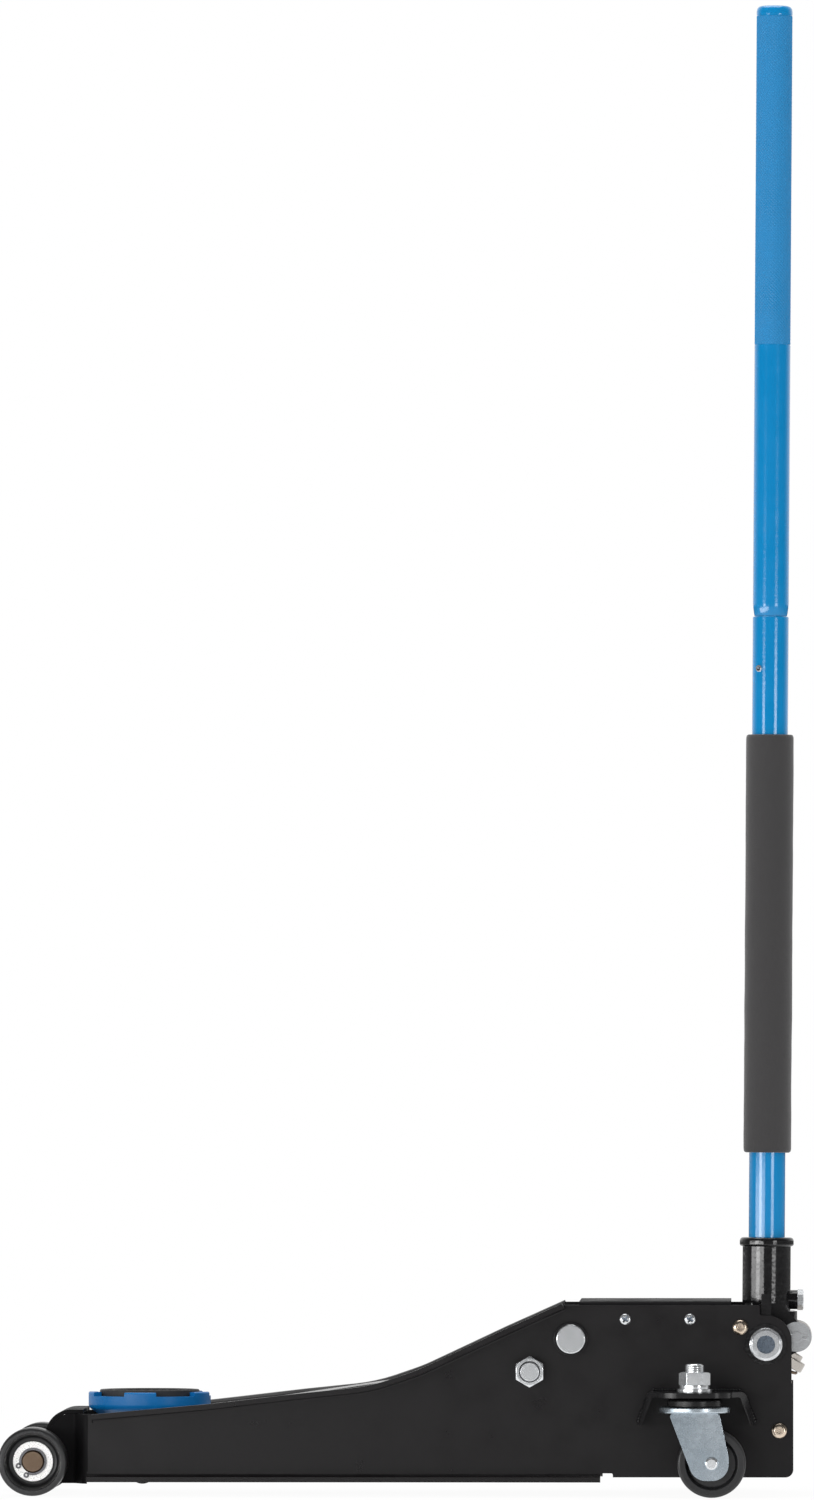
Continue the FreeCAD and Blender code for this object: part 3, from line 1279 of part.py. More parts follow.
def release_valve():
    """Release spindle that stands in the block, with a slotted head."""
    section = [
        (0, VALVE_BOTTOM_Z + 0.5),
        (VALVE_R - 2, VALVE_BOTTOM_Z + 0.5),
        (VALVE_R, VALVE_BOTTOM_Z + 2.5),
        (VALVE_R, VALVE_TOP_Z - 1),
        (VALVE_R - 1, VALVE_TOP_Z),
        (0, VALVE_TOP_Z),
    ]
    spindle = turned(section, Vector(VALVE_X, VALVE_Y, 0), Z_AXIS, X_AXIS)
    slot = slab(VALVE_X - 9, VALVE_X + 9, VALVE_Y - 1.5, VALVE_Y + 1.5, VALVE_TOP_Z - 5, VALVE_TOP_Z)
    return spindle.cut(slot)


def cheek():
    """Right-hand cheek plate of the yoke, from the pivot up past the socket's foot to the roller pin."""
    far = CHEEK_IN_Y + CHEEK_T
    plate = side_prism([
        (YOKE_X - 19, YOKE_Z - 4, 8.0),
        (YOKE_X - 17, CHEEK_TOP_Z - 8, 10.0),
        (YOKE_X - 4, CHEEK_TOP_Z, 6.0),
        (YOKE_X + 13, CHEEK_TOP_Z, 1.5),
        (ROLLER_X + 2.6, ROLLER_Z + 11.4, 2.0),
        (ROLLER_X + 11.5, ROLLER_Z, 5.0),
        (ROLLER_X + 4, ROLLER_Z - 11.8, 8.0),
        (YOKE_X + 5, YOKE_Z - 18.5, 8.0),
        (YOKE_X - 12, YOKE_Z - 15, 8.0),
    ], CHEEK_IN_Y, far)
    disc = cross_rod(19.0, YOKE_X, YOKE_Z, CHEEK_IN_Y, far)
    boss = cross_rod(YOKE_BOSS_R, YOKE_X, YOKE_Z, far, WEB_IN_Y - 0.5)
    return join(plate, disc, boss)


def handle_yoke():
    """Welded yoke: two cheeks with bosses and lugs, joined by a bridge that the socket turns in."""
    side = cheek()
    bridge_top = BRIDGE_BOTTOM_Z + BRIDGE_T
    bridge = slab(YOKE_X - 16, YOKE_X + 25, -CHEEK_IN_Y, CHEEK_IN_Y, BRIDGE_BOTTOM_Z, bridge_top)
    collar = Part.makeCylinder(SOCKET_R + 6, BRIDGE_T, Vector(YOKE_X, 0, BRIDGE_BOTTOM_Z))
    lug_y = WEB_IN_Y - 1
    lug = slab(YOKE_X - YOKE_LUG_HALF_L, YOKE_X + YOKE_LUG_HALF_L, lug_y - YOKE_LUG_T, lug_y, YOKE_Z,
               YOKE_LUG_TOP_Z)
    yoke = join(side, mirrored(side), bridge, collar, lug, mirrored(lug))
    bore = Part.makeCylinder(SOCKET_FOOT_R + RUN_FIT, 60, Vector(YOKE_X, 0, BRIDGE_BOTTOM_Z - 5))
    relief = cross_rod(ROLLER_R + 1, ROLLER_X, ROLLER_Z, -CHEEK_IN_Y, CHEEK_IN_Y)
    pivot = cross_rod(PIVOT_BOLT_R + RUN_FIT, YOKE_X, YOKE_Z, -WEB_OUT_Y, WEB_OUT_Y)
    pin = cross_rod(ROLLER_PIN_R, ROLLER_X, ROLLER_Z, -WEB_OUT_Y, WEB_OUT_Y)
    return leaned(yoke.cut([bore, pivot, pin, relief]))


def roller_pin():
    """Pin through the cheeks with a plated disc and a split pin at each end."""
    far = CHEEK_IN_Y + CHEEK_T
    pin = cross_rod(ROLLER_PIN_R, ROLLER_X, ROLLER_Z, -far - 7, far + 7)
    split_y = far + 4.5
    split = rod(1.2, Vector(ROLLER_X - 9, split_y, ROLLER_Z + 2), Vector(ROLLER_X + 9, split_y, ROLLER_Z - 2))
    disc = cross_rod(ROLLER_R, ROLLER_X, ROLLER_Z, far, far + 2)
    end = join(disc, split)
    return leaned(join(pin, end, mirrored(end)))


def pump_roller():
    """Barrel roller between the cheeks that presses on the plunger."""
    section = [
        (ROLLER_PIN_R + RUN_FIT, -ROLLER_HALF_W),
        (ROLLER_R - 1, -ROLLER_HALF_W),
        (ROLLER_R, -ROLLER_HALF_W + 2),
        (ROLLER_R, ROLLER_HALF_W - 2),
        (ROLLER_R - 1, ROLLER_HALF_W),
        (ROLLER_PIN_R + RUN_FIT, ROLLER_HALF_W),
    ]
    return leaned(turned(section, Vector(ROLLER_X, 0, ROLLER_Z), Y_AXIS, X_AXIS))


def roller_spacers():
    """Plain tubes on the pin that keep the roller central."""
    low = ROLLER_HALF_W + SEAT_GAP
    tube = cross_rod(ROLLER_PIN_R + 3, ROLLER_X, ROLLER_Z, low, CHEEK_IN_Y)
    return leaned(both_sides(tube.cut(cross_rod(ROLLER_PIN_R, ROLLER_X, ROLLER_Z, 0, CHEEK_IN_Y + 1))))


def handle_socket():
    """Tube that takes the handle: turned foot in the yoke, bead at its mouth, clamp nut and stop lug."""
    seat = BRIDGE_BOTTOM_Z + BRIDGE_T + SEAT_GAP
    section = [
        (TUBE_R + RUN_FIT, SOCKET_BOTTOM_Z),
        (SOCKET_FOOT_R, SOCKET_BOTTOM_Z),
        (SOCKET_FOOT_R, seat),
        (SOCKET_R, seat),
        (SOCKET_R, SOCKET_TOP_Z - BEAD_H / 2),
        (BEAD_R, SOCKET_TOP_Z - BEAD_H / 2, 2.0),
        (BEAD_R, SOCKET_TOP_Z + BEAD_H / 2, 3.0),
        (TUBE_R + RUN_FIT, SOCKET_TOP_Z + BEAD_H / 2),
    ]
    tube = turned(section, Vector(YOKE_X, 0, 0), Z_AXIS, X_AXIS)
    boss_end = Vector(YOKE_X + CLAMP_BOSS_END, 0, CLAMP_Z)
    boss = rod(CLAMP_BOSS_R, Vector(YOKE_X + SOCKET_R - 2, 0, CLAMP_Z), boss_end)
    outer = Part.makeCylinder(SOCKET_R - 2, 90, Vector(YOKE_X, 0, SOCKET_BOTTOM_Z))
    lug = slab(YOKE_X - 4.5, YOKE_X + 4.5, -SOCKET_R - 4, -SOCKET_R + 4, seat, CLAMP_Z + 3).cut(outer)
    hole = rod(CLAMP_R, Vector(YOKE_X + 5, 0, CLAMP_Z), Vector(YOKE_X + 40, 0, CLAMP_Z))
    return leaned(join(tube, boss.cut(outer), lug).cut(hole))


def clamp_bolt():
    """Hexagon bolt that clamps the handle in its socket."""
    head_x = YOKE_X + CLAMP_BOSS_END
    shank = rod(CLAMP_R, Vector(YOKE_X + TUBE_R + 0.1, 0, CLAMP_Z), Vector(head_x, 0, CLAMP_Z))
    head = hex_body(Vector(head_x, 0, CLAMP_Z), X_AXIS, Z_AXIS, CLAMP_AF, CLAMP_HEAD_T, 1.2)
    return leaned(join(shank, head))


def lower_handle():
    """Lower tube, with a flange at its foot and a hole for the spring button."""
    section = [
        (TUBE_R - TUBE_WALL, TUBE_BOTTOM_Z),
        (TUBE_R, TUBE_BOTTOM_Z),
        (TUBE_R, HANDLE_SPLIT_Z),
        (TUBE_R - TUBE_WALL, HANDLE_SPLIT_Z),
    ]
    tube = turned(section, Vector(YOKE_X, 0, 0), Z_AXIS, X_AXIS)
    return leaned(tube.cut(button_bar(TUBE_R - 5, TUBE_R + 5, BUTTON_R + 0.15)))


def button_bar(near, far, radius):
    """A bar along the spring button's direction, between two distances from the handle's axis."""
    angle = math.radians(BUTTON_BEARING)
    out = Vector(math.cos(angle), math.sin(angle), 0)
    centre = Vector(YOKE_X, 0, BUTTON_Z)
    return rod(radius, centre + out * near, centre + out * far)


def upper_handle():
    """Upper tube with a necked end and a spigot that plugs into the lower tube."""
    spigot_r = TUBE_R - TUBE_WALL - RUN_FIT
    low = HANDLE_SPLIT_Z + SEAT_GAP
    section = [
        (spigot_r - TUBE_WALL, low - SPIGOT_LENGTH),
        (spigot_r, low - SPIGOT_LENGTH),
        (spigot_r, low),
        (TUBE_R - 1.4, low),
        (TUBE_R, low + NECK_H, 6.0),
        (TUBE_R, HANDLE_TOP_Z - CAP_H),
        (spigot_r - TUBE_WALL, HANDLE_TOP_Z - CAP_H),
    ]
    tube = turned(section, Vector(YOKE_X, 0, 0), Z_AXIS, X_AXIS)
    return leaned(tube.cut(button_bar(TUBE_R - 8, TUBE_R + 5, BUTTON_R + 0.15)))


def handle_button():
    """Sprung button that locks the two tubes."""
    return leaned(button_bar(TUBE_R - 6.5, TUBE_R + 1.6, BUTTON_R))


def foam_sleeve():
    """Soft sleeve over the lower tube."""
    section = [
        (TUBE_R + RUN_FIT, FOAM_BOTTOM_Z),
        (FOAM_R, FOAM_BOTTOM_Z, 2.0),
        (FOAM_R, FOAM_TOP_Z, 2.0),
        (TUBE_R + RUN_FIT, FOAM_TOP_Z),
    ]
    return leaned(turned(section, Vector(YOKE_X, 0, 0), Z_AXIS, X_AXIS))


def handle_cap():
    """Domed plug in the top of the handle."""
    plug_r = TUBE_R - 2 * TUBE_WALL - RUN_FIT
    base = HANDLE_TOP_Z - CAP_H
    section = [
        (0, base - 12),
        (plug_r, base - 12),
        (plug_r, base),
        (TUBE_R, base),
        (TUBE_R, HANDLE_TOP_Z, CAP_H - 0.5),
        (0, HANDLE_TOP_Z),
    ]
    return leaned(turned(section, Vector(YOKE_X, 0, 0), Z_AXIS, X_AXIS))


def make_pieces():
    """Every piece at its place, by the name of its file. Identical fasteners share one file."""
    plate = side_plate()
    front_roller = front_wheel()
    bracket = caster_bracket()
    fork = caster_fork()
    axle = caster_axle()
    roller = caster_wheel()
    return {
        "side_plate_right": plate,
        "side_plate_left": mirrored(plate),
        "front_cross_plate": front_cross_plate(),
        "rear_crossmember": rear_crossmember(),
        "mid_crossmember": mid_crossmember(),
        "tie_tube": tie_tube(),
        "guard_nuts": guard_nuts(),
        "frame_bolts": frame_bolts(),
        "top_cover": top_cover(),
        "cover_screws": cover_screws(),
        "front_axle": front_axle(),
        "front_axle_washers": front_axle_washers(),
        "front_axle_circlips": front_axle_circlips(),
        "front_wheel_right": front_roller,
        "front_wheel_left": mirrored(front_roller),
        "lift_pivot_shaft": lift_pivot_shaft(),
        "lift_shaft_collars": lift_shaft_collars(),
        "lift_shaft_caps": lift_shaft_caps(),
        "link_pivot_studs": link_pivot_studs(),
        "link_pivot_nuts": link_pivot_nuts(),
        "handle_pivot_bolts": handle_pivot_bolts(),
        "caster_bracket_right": bracket,
        "caster_bracket_left": mirrored(bracket),
        "caster_studs": caster_studs(),
        "caster_washers": caster_washers(),
        "caster_nuts": caster_nuts(),
        "caster_fork_right": fork,
        "caster_fork_left": mirrored(fork),
        "caster_axle_right": axle,
        "caster_axle_left": mirrored(axle),
        "caster_wheel_right": roller,
        "caster_wheel_left": mirrored(roller),
        "lift_arm": lift_arm(),
        "arm_front_pin": arm_front_pin(),
        "link_rods": both_sides(link_rod()),
        "saddle_carrier": saddle_carrier(),
        "carrier_pin": carrier_pin(),
        "saddle": saddle(),
        "saddle_pad": saddle_pad(),
        "ram": ram(),
        "crosshead_pin": crosshead_pin(),
        "reservoir_tube": reservoir_tube(),
        "ram_gland": ram_gland(),
        "hydraulic_block": hydraulic_block(),
        "spring_posts": spring_posts(),
        "return_springs": both_sides(return_spring()),
        "release_valve": release_valve(),
        "pump_cylinder": pump_cylinder(),
        "pump_plunger": pump_plunger(),
        "plunger_spring": plunger_spring(),
        "handle_yoke": handle_yoke(),
        "roller_pin": roller_pin(),
        "roller_spacers": roller_spacers(),
        "pump_roller": pump_roller(),
        "handle_socket": handle_socket(),
        "clamp_bolt": clamp_bolt(),
        "lower_handle": lower_handle(),
        "upper_handle": group([upper_handle(), handle_cap()]),
        "foam_sleeve": foam_sleeve(),
        "handle_button": handle_button(),
    }


def write_pieces(pieces):
    """Writes one STEP file for each named piece."""
    os.makedirs("parts", exist_ok=True)
    for node, shape in pieces.items():
        shape.exportStep("parts/" + node + ".step")
    print(len(pieces), "pieces written")


PIECES = make_pieces()
write_pieces(PIECES)
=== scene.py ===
# %% [markdown]
# # A low-profile trolley jack
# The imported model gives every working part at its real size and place. This script adds what
# the eye sees: rounded edges, paint, plating, rubber, foam, weld beads and small fasteners.
# Everything is in metres, with Z up, the lifting saddle towards -X and the handle towards +X.

# %% Load the frame
import math
import random

import bpy
from mathutils import Matrix, Vector
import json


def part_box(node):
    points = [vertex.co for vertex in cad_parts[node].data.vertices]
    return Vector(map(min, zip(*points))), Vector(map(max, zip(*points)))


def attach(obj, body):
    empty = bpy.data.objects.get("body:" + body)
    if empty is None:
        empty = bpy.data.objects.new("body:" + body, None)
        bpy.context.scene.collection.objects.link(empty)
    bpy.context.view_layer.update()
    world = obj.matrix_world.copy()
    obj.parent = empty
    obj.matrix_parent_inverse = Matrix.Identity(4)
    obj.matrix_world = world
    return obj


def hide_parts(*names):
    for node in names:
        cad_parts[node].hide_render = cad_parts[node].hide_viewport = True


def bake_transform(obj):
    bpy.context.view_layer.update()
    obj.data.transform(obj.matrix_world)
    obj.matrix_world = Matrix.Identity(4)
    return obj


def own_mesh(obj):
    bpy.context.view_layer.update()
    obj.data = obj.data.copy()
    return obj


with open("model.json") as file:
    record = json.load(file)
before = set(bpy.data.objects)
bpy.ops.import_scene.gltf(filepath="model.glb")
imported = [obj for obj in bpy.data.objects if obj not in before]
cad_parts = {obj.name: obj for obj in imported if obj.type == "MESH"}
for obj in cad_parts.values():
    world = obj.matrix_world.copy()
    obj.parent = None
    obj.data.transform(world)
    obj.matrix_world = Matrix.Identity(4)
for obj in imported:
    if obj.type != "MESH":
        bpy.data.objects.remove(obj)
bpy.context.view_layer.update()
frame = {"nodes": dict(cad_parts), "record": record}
MM = 0.001
print("nodes in the frame:", len(frame["nodes"]))

# %% [markdown]
# ## Camera, light and floor first
# A long lens far away shows the jack almost as a side drawing. It stands in front of the handle,
# level with the foam grip, so it looks a little down on the wheels and a little up at the knurl.
# Its focal length follows from the height to be framed.

# %% Camera
VIEW_HEIGHT = 1.3270
VIEW_MIDDLE = Vector((-0.0004, 0.0, 0.6567))
VIEW_PLACE = Vector((0.34, -14.0, 0.42))
SENSOR = 36.0

camera_data = bpy.data.cameras.new("camera")
camera_data.sensor_fit = "VERTICAL"
camera_data.sensor_height = SENSOR
camera_data.lens = SENSOR * (VIEW_MIDDLE - VIEW_PLACE).length / VIEW_HEIGHT
camera_data.clip_end = 200.0
camera = bpy.data.objects.new("camera", camera_data)
camera.location = VIEW_PLACE
camera.rotation_euler = (VIEW_MIDDLE - VIEW_PLACE).to_track_quat("-Z", "Y").to_euler()
bpy.context.scene.collection.objects.link(camera)
bpy.context.scene.camera = camera
print("lens", round(camera_data.lens), "mm")

# %% [markdown]
# ## Helpers for modelling by hand
# Operators act on whatever is selected, so each step starts from an empty selection. A finished
# piece has its place in its mesh, with the object itself at the origin.


# %% Selection and finishing helpers
def clear_selection():
    if bpy.context.object and bpy.context.object.mode != "OBJECT":
        bpy.ops.object.mode_set(mode="OBJECT")
    bpy.ops.object.select_all(action="DESELECT")


def take(obj):
    """Selects one object and makes it the active one."""
    clear_selection()
    obj.select_set(True)
    bpy.context.view_layer.objects.active = obj


def settle(obj):
    """Moves the object's place into its mesh."""
    take(obj)
    bpy.ops.object.transform_apply(location=True, rotation=True, scale=True)
    return obj


def use_modifiers(obj):
    """Applies all modifiers in their order."""
    take(obj)
    for modifier in list(obj.modifiers):
        bpy.ops.object.modifier_apply(modifier=modifier.name)


SHARP_ANGLE = 35


def round_edges(obj, width):
    """Bevels the sharp edges, as every cast, cut or turned edge has a small radius."""
    bevel = obj.modifiers.new("edges", "BEVEL")
    bevel.width = width
    bevel.segments = 2
    bevel.limit_method = "ANGLE"
    bevel.angle_limit = math.radians(SHARP_ANGLE)
    use_modifiers(obj)


def smooth(obj, angle=32):
    """Smooth shading that leaves wide faces flat: the small bevel faces do the turning."""
    take(obj)
    bpy.ops.object.shade_smooth_by_angle(angle=math.radians(angle))
    weighted = obj.modifiers.new("flat_faces", "WEIGHTED_NORMAL")
    weighted.weight = 50
    weighted.keep_sharp = True
    use_modifiers(obj)


def finish(obj, material, body, replaces=()):
    """Gives the piece its material and body, and hides the frame parts that it stands for."""
    obj.data.materials.clear()
    obj.data.materials.append(material)
    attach(obj, body)
    if replaces:
        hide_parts(*replaces)
    return obj


# %% [markdown]
# ## A lathe
# Most parts of a jack are turned, so one helper makes them all. A single vertex is extruded along
# half of the section, point by point, and then spun round the axis, as a lathe tool would cut it.
# The shape is made round the Z axis, and only then laid on the line where it belongs.


# %% Helpers that the lathe shares with the knurl, the springs and the clips
MERGE = 0.000002


def first_point(name, place):
    """Starts a mesh in edit mode from one vertex, a tiny plane merged to its middle."""
    clear_selection()
    bpy.ops.mesh.primitive_plane_add(size=MM, location=(0, 0, 0))
    obj = bpy.context.object
    obj.name = name
    bpy.ops.object.mode_set(mode="EDIT")
    bpy.ops.mesh.select_all(action="SELECT")
    bpy.ops.mesh.merge(type="CENTER")
    bpy.ops.transform.translate(value=place)
    return obj


def close_up(merge=MERGE, holes=False):
    """Merges doubled points in edit mode, caps open ends if asked, and turns all faces outward."""
    bpy.ops.mesh.select_all(action="SELECT")
    bpy.ops.mesh.remove_doubles(threshold=merge)
    if holes:
        bpy.ops.mesh.fill_holes(sides=0)
    bpy.ops.mesh.normals_make_consistent(inside=False)


def lay_on(obj, centre, axis):
    """Moves a shape made round Z to centre (metres), with its Z along the axis."""
    turn = Vector((0, 0, 1)).rotation_difference(Vector(axis))
    obj.matrix_world = Matrix.Translation(Vector(centre)) @ turn.to_matrix().to_4x4()
    return settle(obj)


# %% [markdown]
# The lathe's section is a list of corners, each a radius and a height, as on a turner's drawing.
# It ends on the axis for a solid part, or where it began for a tube.


# %% Lathe
def lathe(name, section, centre, axis=(0, 0, 1), steps=96, edge=0, angle=32):
    """Spins (radius, height) points in millimetres about an axis through centre (metres)."""
    here = Vector((section[0][0], 0, section[0][1])) * MM
    obj = first_point(name, here)
    for radius, height in section[1:]:
        there = Vector((radius, 0, height)) * MM
        bpy.ops.mesh.extrude_vertices_move(TRANSFORM_OT_translate={"value": there - here})
        here = there
    bpy.ops.mesh.select_all(action="SELECT")
    bpy.ops.mesh.spin(steps=steps, angle=math.tau, center=(0, 0, 0), axis=(0, 0, 1))
    close_up()
    bpy.ops.object.mode_set(mode="OBJECT")
    lay_on(obj, centre, axis)
    if edge:
        round_edges(obj, edge)
    smooth(obj, angle)
    return obj


# %% [markdown]
# ## Paints and metals
# A jack has few finishes, and each is more than a colour. Sprayed enamel has orange peel, a
# shallow waviness that breaks up its reflections. Zinc plating has a fine uneven sheen, turned
# steel has rings, and rubber and foam scatter light from a grainy skin. Every finish is a small
# node tree on Object coordinates, so that its pattern keeps a real size on every piece.


# %% Material helpers
def new_finish(name, colour, roughness, metallic=0.0, coat=0.0):
    """A material with its plain values set, and its shader for what comes after."""
    material = bpy.data.materials.new(name)
    material.use_nodes = True
    shader = material.node_tree.nodes["Principled BSDF"]
    shader.inputs["Base Color"].default_value = (*colour, 1)
    shader.inputs["Roughness"].default_value = roughness
    shader.inputs["Metallic"].default_value = metallic
    shader.inputs["Coat Weight"].default_value = coat
    shader.inputs["Coat Roughness"].default_value = 0.04
    material.diffuse_color = (*colour, 1)
    return material, shader


def add_noise(material, scale, detail):
    """The value of a noise in the piece's own metres; scale is in waves per metre."""
    nodes = material.node_tree.nodes
    place = nodes.new("ShaderNodeTexCoord")
    noise = nodes.new("ShaderNodeTexNoise")
    noise.inputs["Scale"].default_value = scale
    noise.inputs["Detail"].default_value = detail
    material.node_tree.links.new(place.outputs["Object"], noise.inputs["Vector"])
    return noise.outputs["Fac"]


def to_range(material, value, low, high):
    """Maps the middle of a noise's range, where nearly all of it lies, to the two values."""
    ranger = material.node_tree.nodes.new("ShaderNodeMapRange")
    ranger.inputs["From Min"].default_value = 0.3
    ranger.inputs["From Max"].default_value = 0.7
    ranger.inputs["To Min"].default_value = low
    ranger.inputs["To Max"].default_value = high
    material.node_tree.links.new(value, ranger.inputs["Value"])
    return ranger.outputs["Result"]


def mix_colours(material, value, low, high):
    """Goes from one colour to the other as the value goes from 0 to 1."""
    mixer = material.node_tree.nodes.new("ShaderNodeMix")
    mixer.data_type = "RGBA"
    mixer.inputs["A"].default_value = (*low, 1)
    mixer.inputs["B"].default_value = (*high, 1)
    material.node_tree.links.new(value, mixer.inputs["Factor"])
    return mixer.outputs["Result"]


def add_bump(material, height, depth):
    """A bump of so many metres where the height value goes from 0 to 1."""
    bump = material.node_tree.nodes.new("ShaderNodeBump")
    bump.inputs["Distance"].default_value = depth
    material.node_tree.links.new(height, bump.inputs["Height"])
    return bump.outputs["Normal"]


def plug(material, value, socket):
    """Links a value to a socket of the material's shader."""
    shader = material.node_tree.nodes["Principled BSDF"]
    material.node_tree.links.new(value, shader.inputs[socket])


# %% [markdown]
# ### Enamel
# Enamel could be a plain glossy plastic, but then large flat plates look like glass. A long, very
# shallow wave bends the reflections as sprayed paint does, and a faint dust haze varies the gloss.


# %% Enamel
def enamel(name, colour, roughness, peel=0.00004, gloss=0.5, coat=0.0, ior=1.5):
    """Sprayed paint: peel is how deep its waves are in metres, gloss is its specular level."""
    material, shader = new_finish(name, colour, roughness, coat=coat)
    shader.inputs["Specular IOR Level"].default_value = gloss
    shader.inputs["IOR"].default_value = ior
    wave = add_noise(material, 260, detail=1.0)
    haze = add_noise(material, 38, detail=4.0)
    plug(material, to_range(material, haze, roughness * 0.85, roughness * 1.5), "Roughness")
    pale = tuple(c * 1.12 + 0.004 for c in colour)
    plug(material, mix_colours(material, haze, colour, pale), "Base Color")
    plug(material, add_bump(material, wave, peel), "Normal")
    return material


INK = (0.0050, 0.0047, 0.0053)
SKY_BLUE = (0.0004, 0.188, 0.437)
BLACK = enamel("black_enamel", INK, 0.20, gloss=0.36)
SOCKET_BLACK = enamel("black_thick_enamel", (0.0062, 0.0060, 0.0066), 0.10, peel=0.00009)
BLUE = enamel("blue_enamel", SKY_BLUE, 0.11, coat=0.35)
KNURL_BLUE = enamel("knurled_blue_enamel", SKY_BLUE, 0.42)
PLATE_BLACK = enamel("black_plate_enamel", (0.0052, 0.0044, 0.0050), 0.32, gloss=0.28)
SADDLE_BLUE = enamel("deep_blue_enamel", (0.0002, 0.120, 0.345), 0.28, ior=1.3)
COVER_BLACK = enamel("black_powder_coat", INK, 0.42, gloss=0.2, ior=1.2)
print("enamels:", [m.name for m in (BLACK, SOCKET_BLACK, PLATE_BLACK, COVER_BLACK)])
print("blue enamels:", [m.name for m in (BLUE, KNURL_BLUE, SADDLE_BLUE)])

# %% [markdown]
# ### Plated and bare metal
# Zinc goes on as crystals, so its brightness changes over a millimetre or less. Yellow zinc is
# the same with a chromate tint that drifts from straw to rose. Bare steel is darker and warmer,
# with a film of oil, and spring wire is darker still.


# %% Metals
GRAIN_DEPTH = 0.000012


def plated(name, colour, second, roughness, scale=900, metallic=1.0):
    """Metal that drifts between two colours, with a grain of so many waves per metre."""
    material = new_finish(name, colour, roughness, metallic=metallic)[0]
    grain = add_noise(material, scale, detail=3.0)
    cloud = add_noise(material, scale / 9, detail=3.0)
    plug(material, mix_colours(material, cloud, colour, second), "Base Color")
    plug(material, to_range(material, grain, roughness * 0.75, roughness * 1.35), "Roughness")
    plug(material, add_bump(material, grain, GRAIN_DEPTH), "Normal")
    return material


ZINC = plated("bright_zinc", (0.70, 0.72, 0.74), (0.88, 0.90, 0.92), 0.18, metallic=0.86)
YELLOW_ZINC = plated("yellow_chromate", (0.70, 0.55, 0.42), (0.80, 0.70, 0.58), 0.24)
# Pale, half-diffuse zinc for the axle washers: painted reflection of the bright floor.
PAINTED_REFLECTION_ZINC = plated("zinc_with_painted_floor_reflection", (0.93, 0.92, 0.90), (0.97, 0.96, 0.95), 0.30, metallic=0.45)
FORK_ZINC = plated("blue_zinc", (0.30, 0.37, 0.43), (0.66, 0.72, 0.77), 0.26, scale=260)
# Dark blue-grey steel for the bolt's dish, the cross recesses and the dimple: painted shade.
PAINTED_SHADE_STEEL = plated("steel_with_painted_recess_shade", (0.10, 0.13, 0.17), (0.30, 0.35, 0.42), 0.30, scale=500)
STEEL = plated("oiled_steel", (0.42, 0.39, 0.36), (0.55, 0.52, 0.48), 0.30)
# Dark spring wire, also used in the nuts' countersinks as painted shade.
SPRING_WIRE_AND_PAINTED_SHADE = plated("dark_spring_wire_and_painted_shade", (0.10, 0.10, 0.105), (0.20, 0.20, 0.21), 0.32)
WARM_STEEL = plated("brown_steel", (0.13, 0.090, 0.062), (0.20, 0.145, 0.105), 0.38)
CAST_BLOCK = plated("plated_block", (0.50, 0.51, 0.52), (0.66, 0.67, 0.68), 0.36, scale=500)
print("zincs:", [m.name for m in (ZINC, YELLOW_ZINC, PAINTED_REFLECTION_ZINC, FORK_ZINC, CAST_BLOCK)])
print("steels:", [m.name for m in (STEEL, SPRING_WIRE_AND_PAINTED_SHADE, WARM_STEEL, PAINTED_SHADE_STEEL)])

# %% [markdown]
# ### Rubber, foam and moulded wheels
# Foam grip is a skin of tiny closed cells with a soft sheen, so it gets a fine cell pattern for
# its bump. Rubber is smoother and greyer on its high spots. The moulded wheels are a hard black
# polyurethane: satin, with the faint waviness that a mould leaves.


# %% Soft and moulded finishes
def moulded(name, colour, worn, roughness, grain_scale, grain_depth, sheen=0.0):
    """Rubber, foam or plastic that is paler in worn patches, with a fine grain on its skin."""
    material, shader = new_finish(name, colour, roughness)
    shader.inputs["Sheen Weight"].default_value = sheen
    grain = add_noise(material, grain_scale, detail=3.0)
    patch = add_noise(material, 30, detail=4.0)
    plug(material, mix_colours(material, patch, colour, worn), "Base Color")
    plug(material, to_range(material, patch, roughness * 0.9, roughness * 1.15), "Roughness")
    plug(material, add_bump(material, grain, grain_depth), "Normal")
    return material


WHEEL_BLACK = moulded("moulded_wheel", (0.012, 0.012, 0.013), (0.020, 0.020, 0.021),
                      0.34, 420, 0.00003)
PAD_RUBBER = moulded("ribbed_rubber", (0.014, 0.014, 0.015), (0.030, 0.030, 0.030),
                     0.62, 1400, 0.00005)
FOAM = moulded("foam_grip", (0.026, 0.025, 0.026), (0.039, 0.037, 0.038),
               0.78, 1100, 0.00022, sheen=0.25)
print("soft finishes:", [m.name for m in (WHEEL_BLACK, PAD_RUBBER, FOAM)])

# %% [markdown]
# ## The room
# A white studio could be a curved sheet behind the jack, but every other view would then look at
# its back. A wide round floor under a pale sky works from all sides. The camera and clear surfaces
# see the sky as white. Reflections see it white at the back and dimmer at the front, as a studio
# is behind the lamps, so that flat black plates stay black. The floor glows just enough to meet
# the sky without a line, and still darkens softly under the jack.


# %% Sky
def ray_switch(tree, *kinds):
    """1 for rays of the named kinds, otherwise 0."""
    path = tree.nodes.new("ShaderNodeLightPath")
    total = path.outputs[kinds[0]]
    for kind in kinds[1:]:
        either = tree.nodes.new("ShaderNodeMath")
        either.operation = "MAXIMUM"
        tree.links.new(total, either.inputs[0])
        tree.links.new(path.outputs[kind], either.inputs[1])
        total = either.outputs["Value"]
    return total


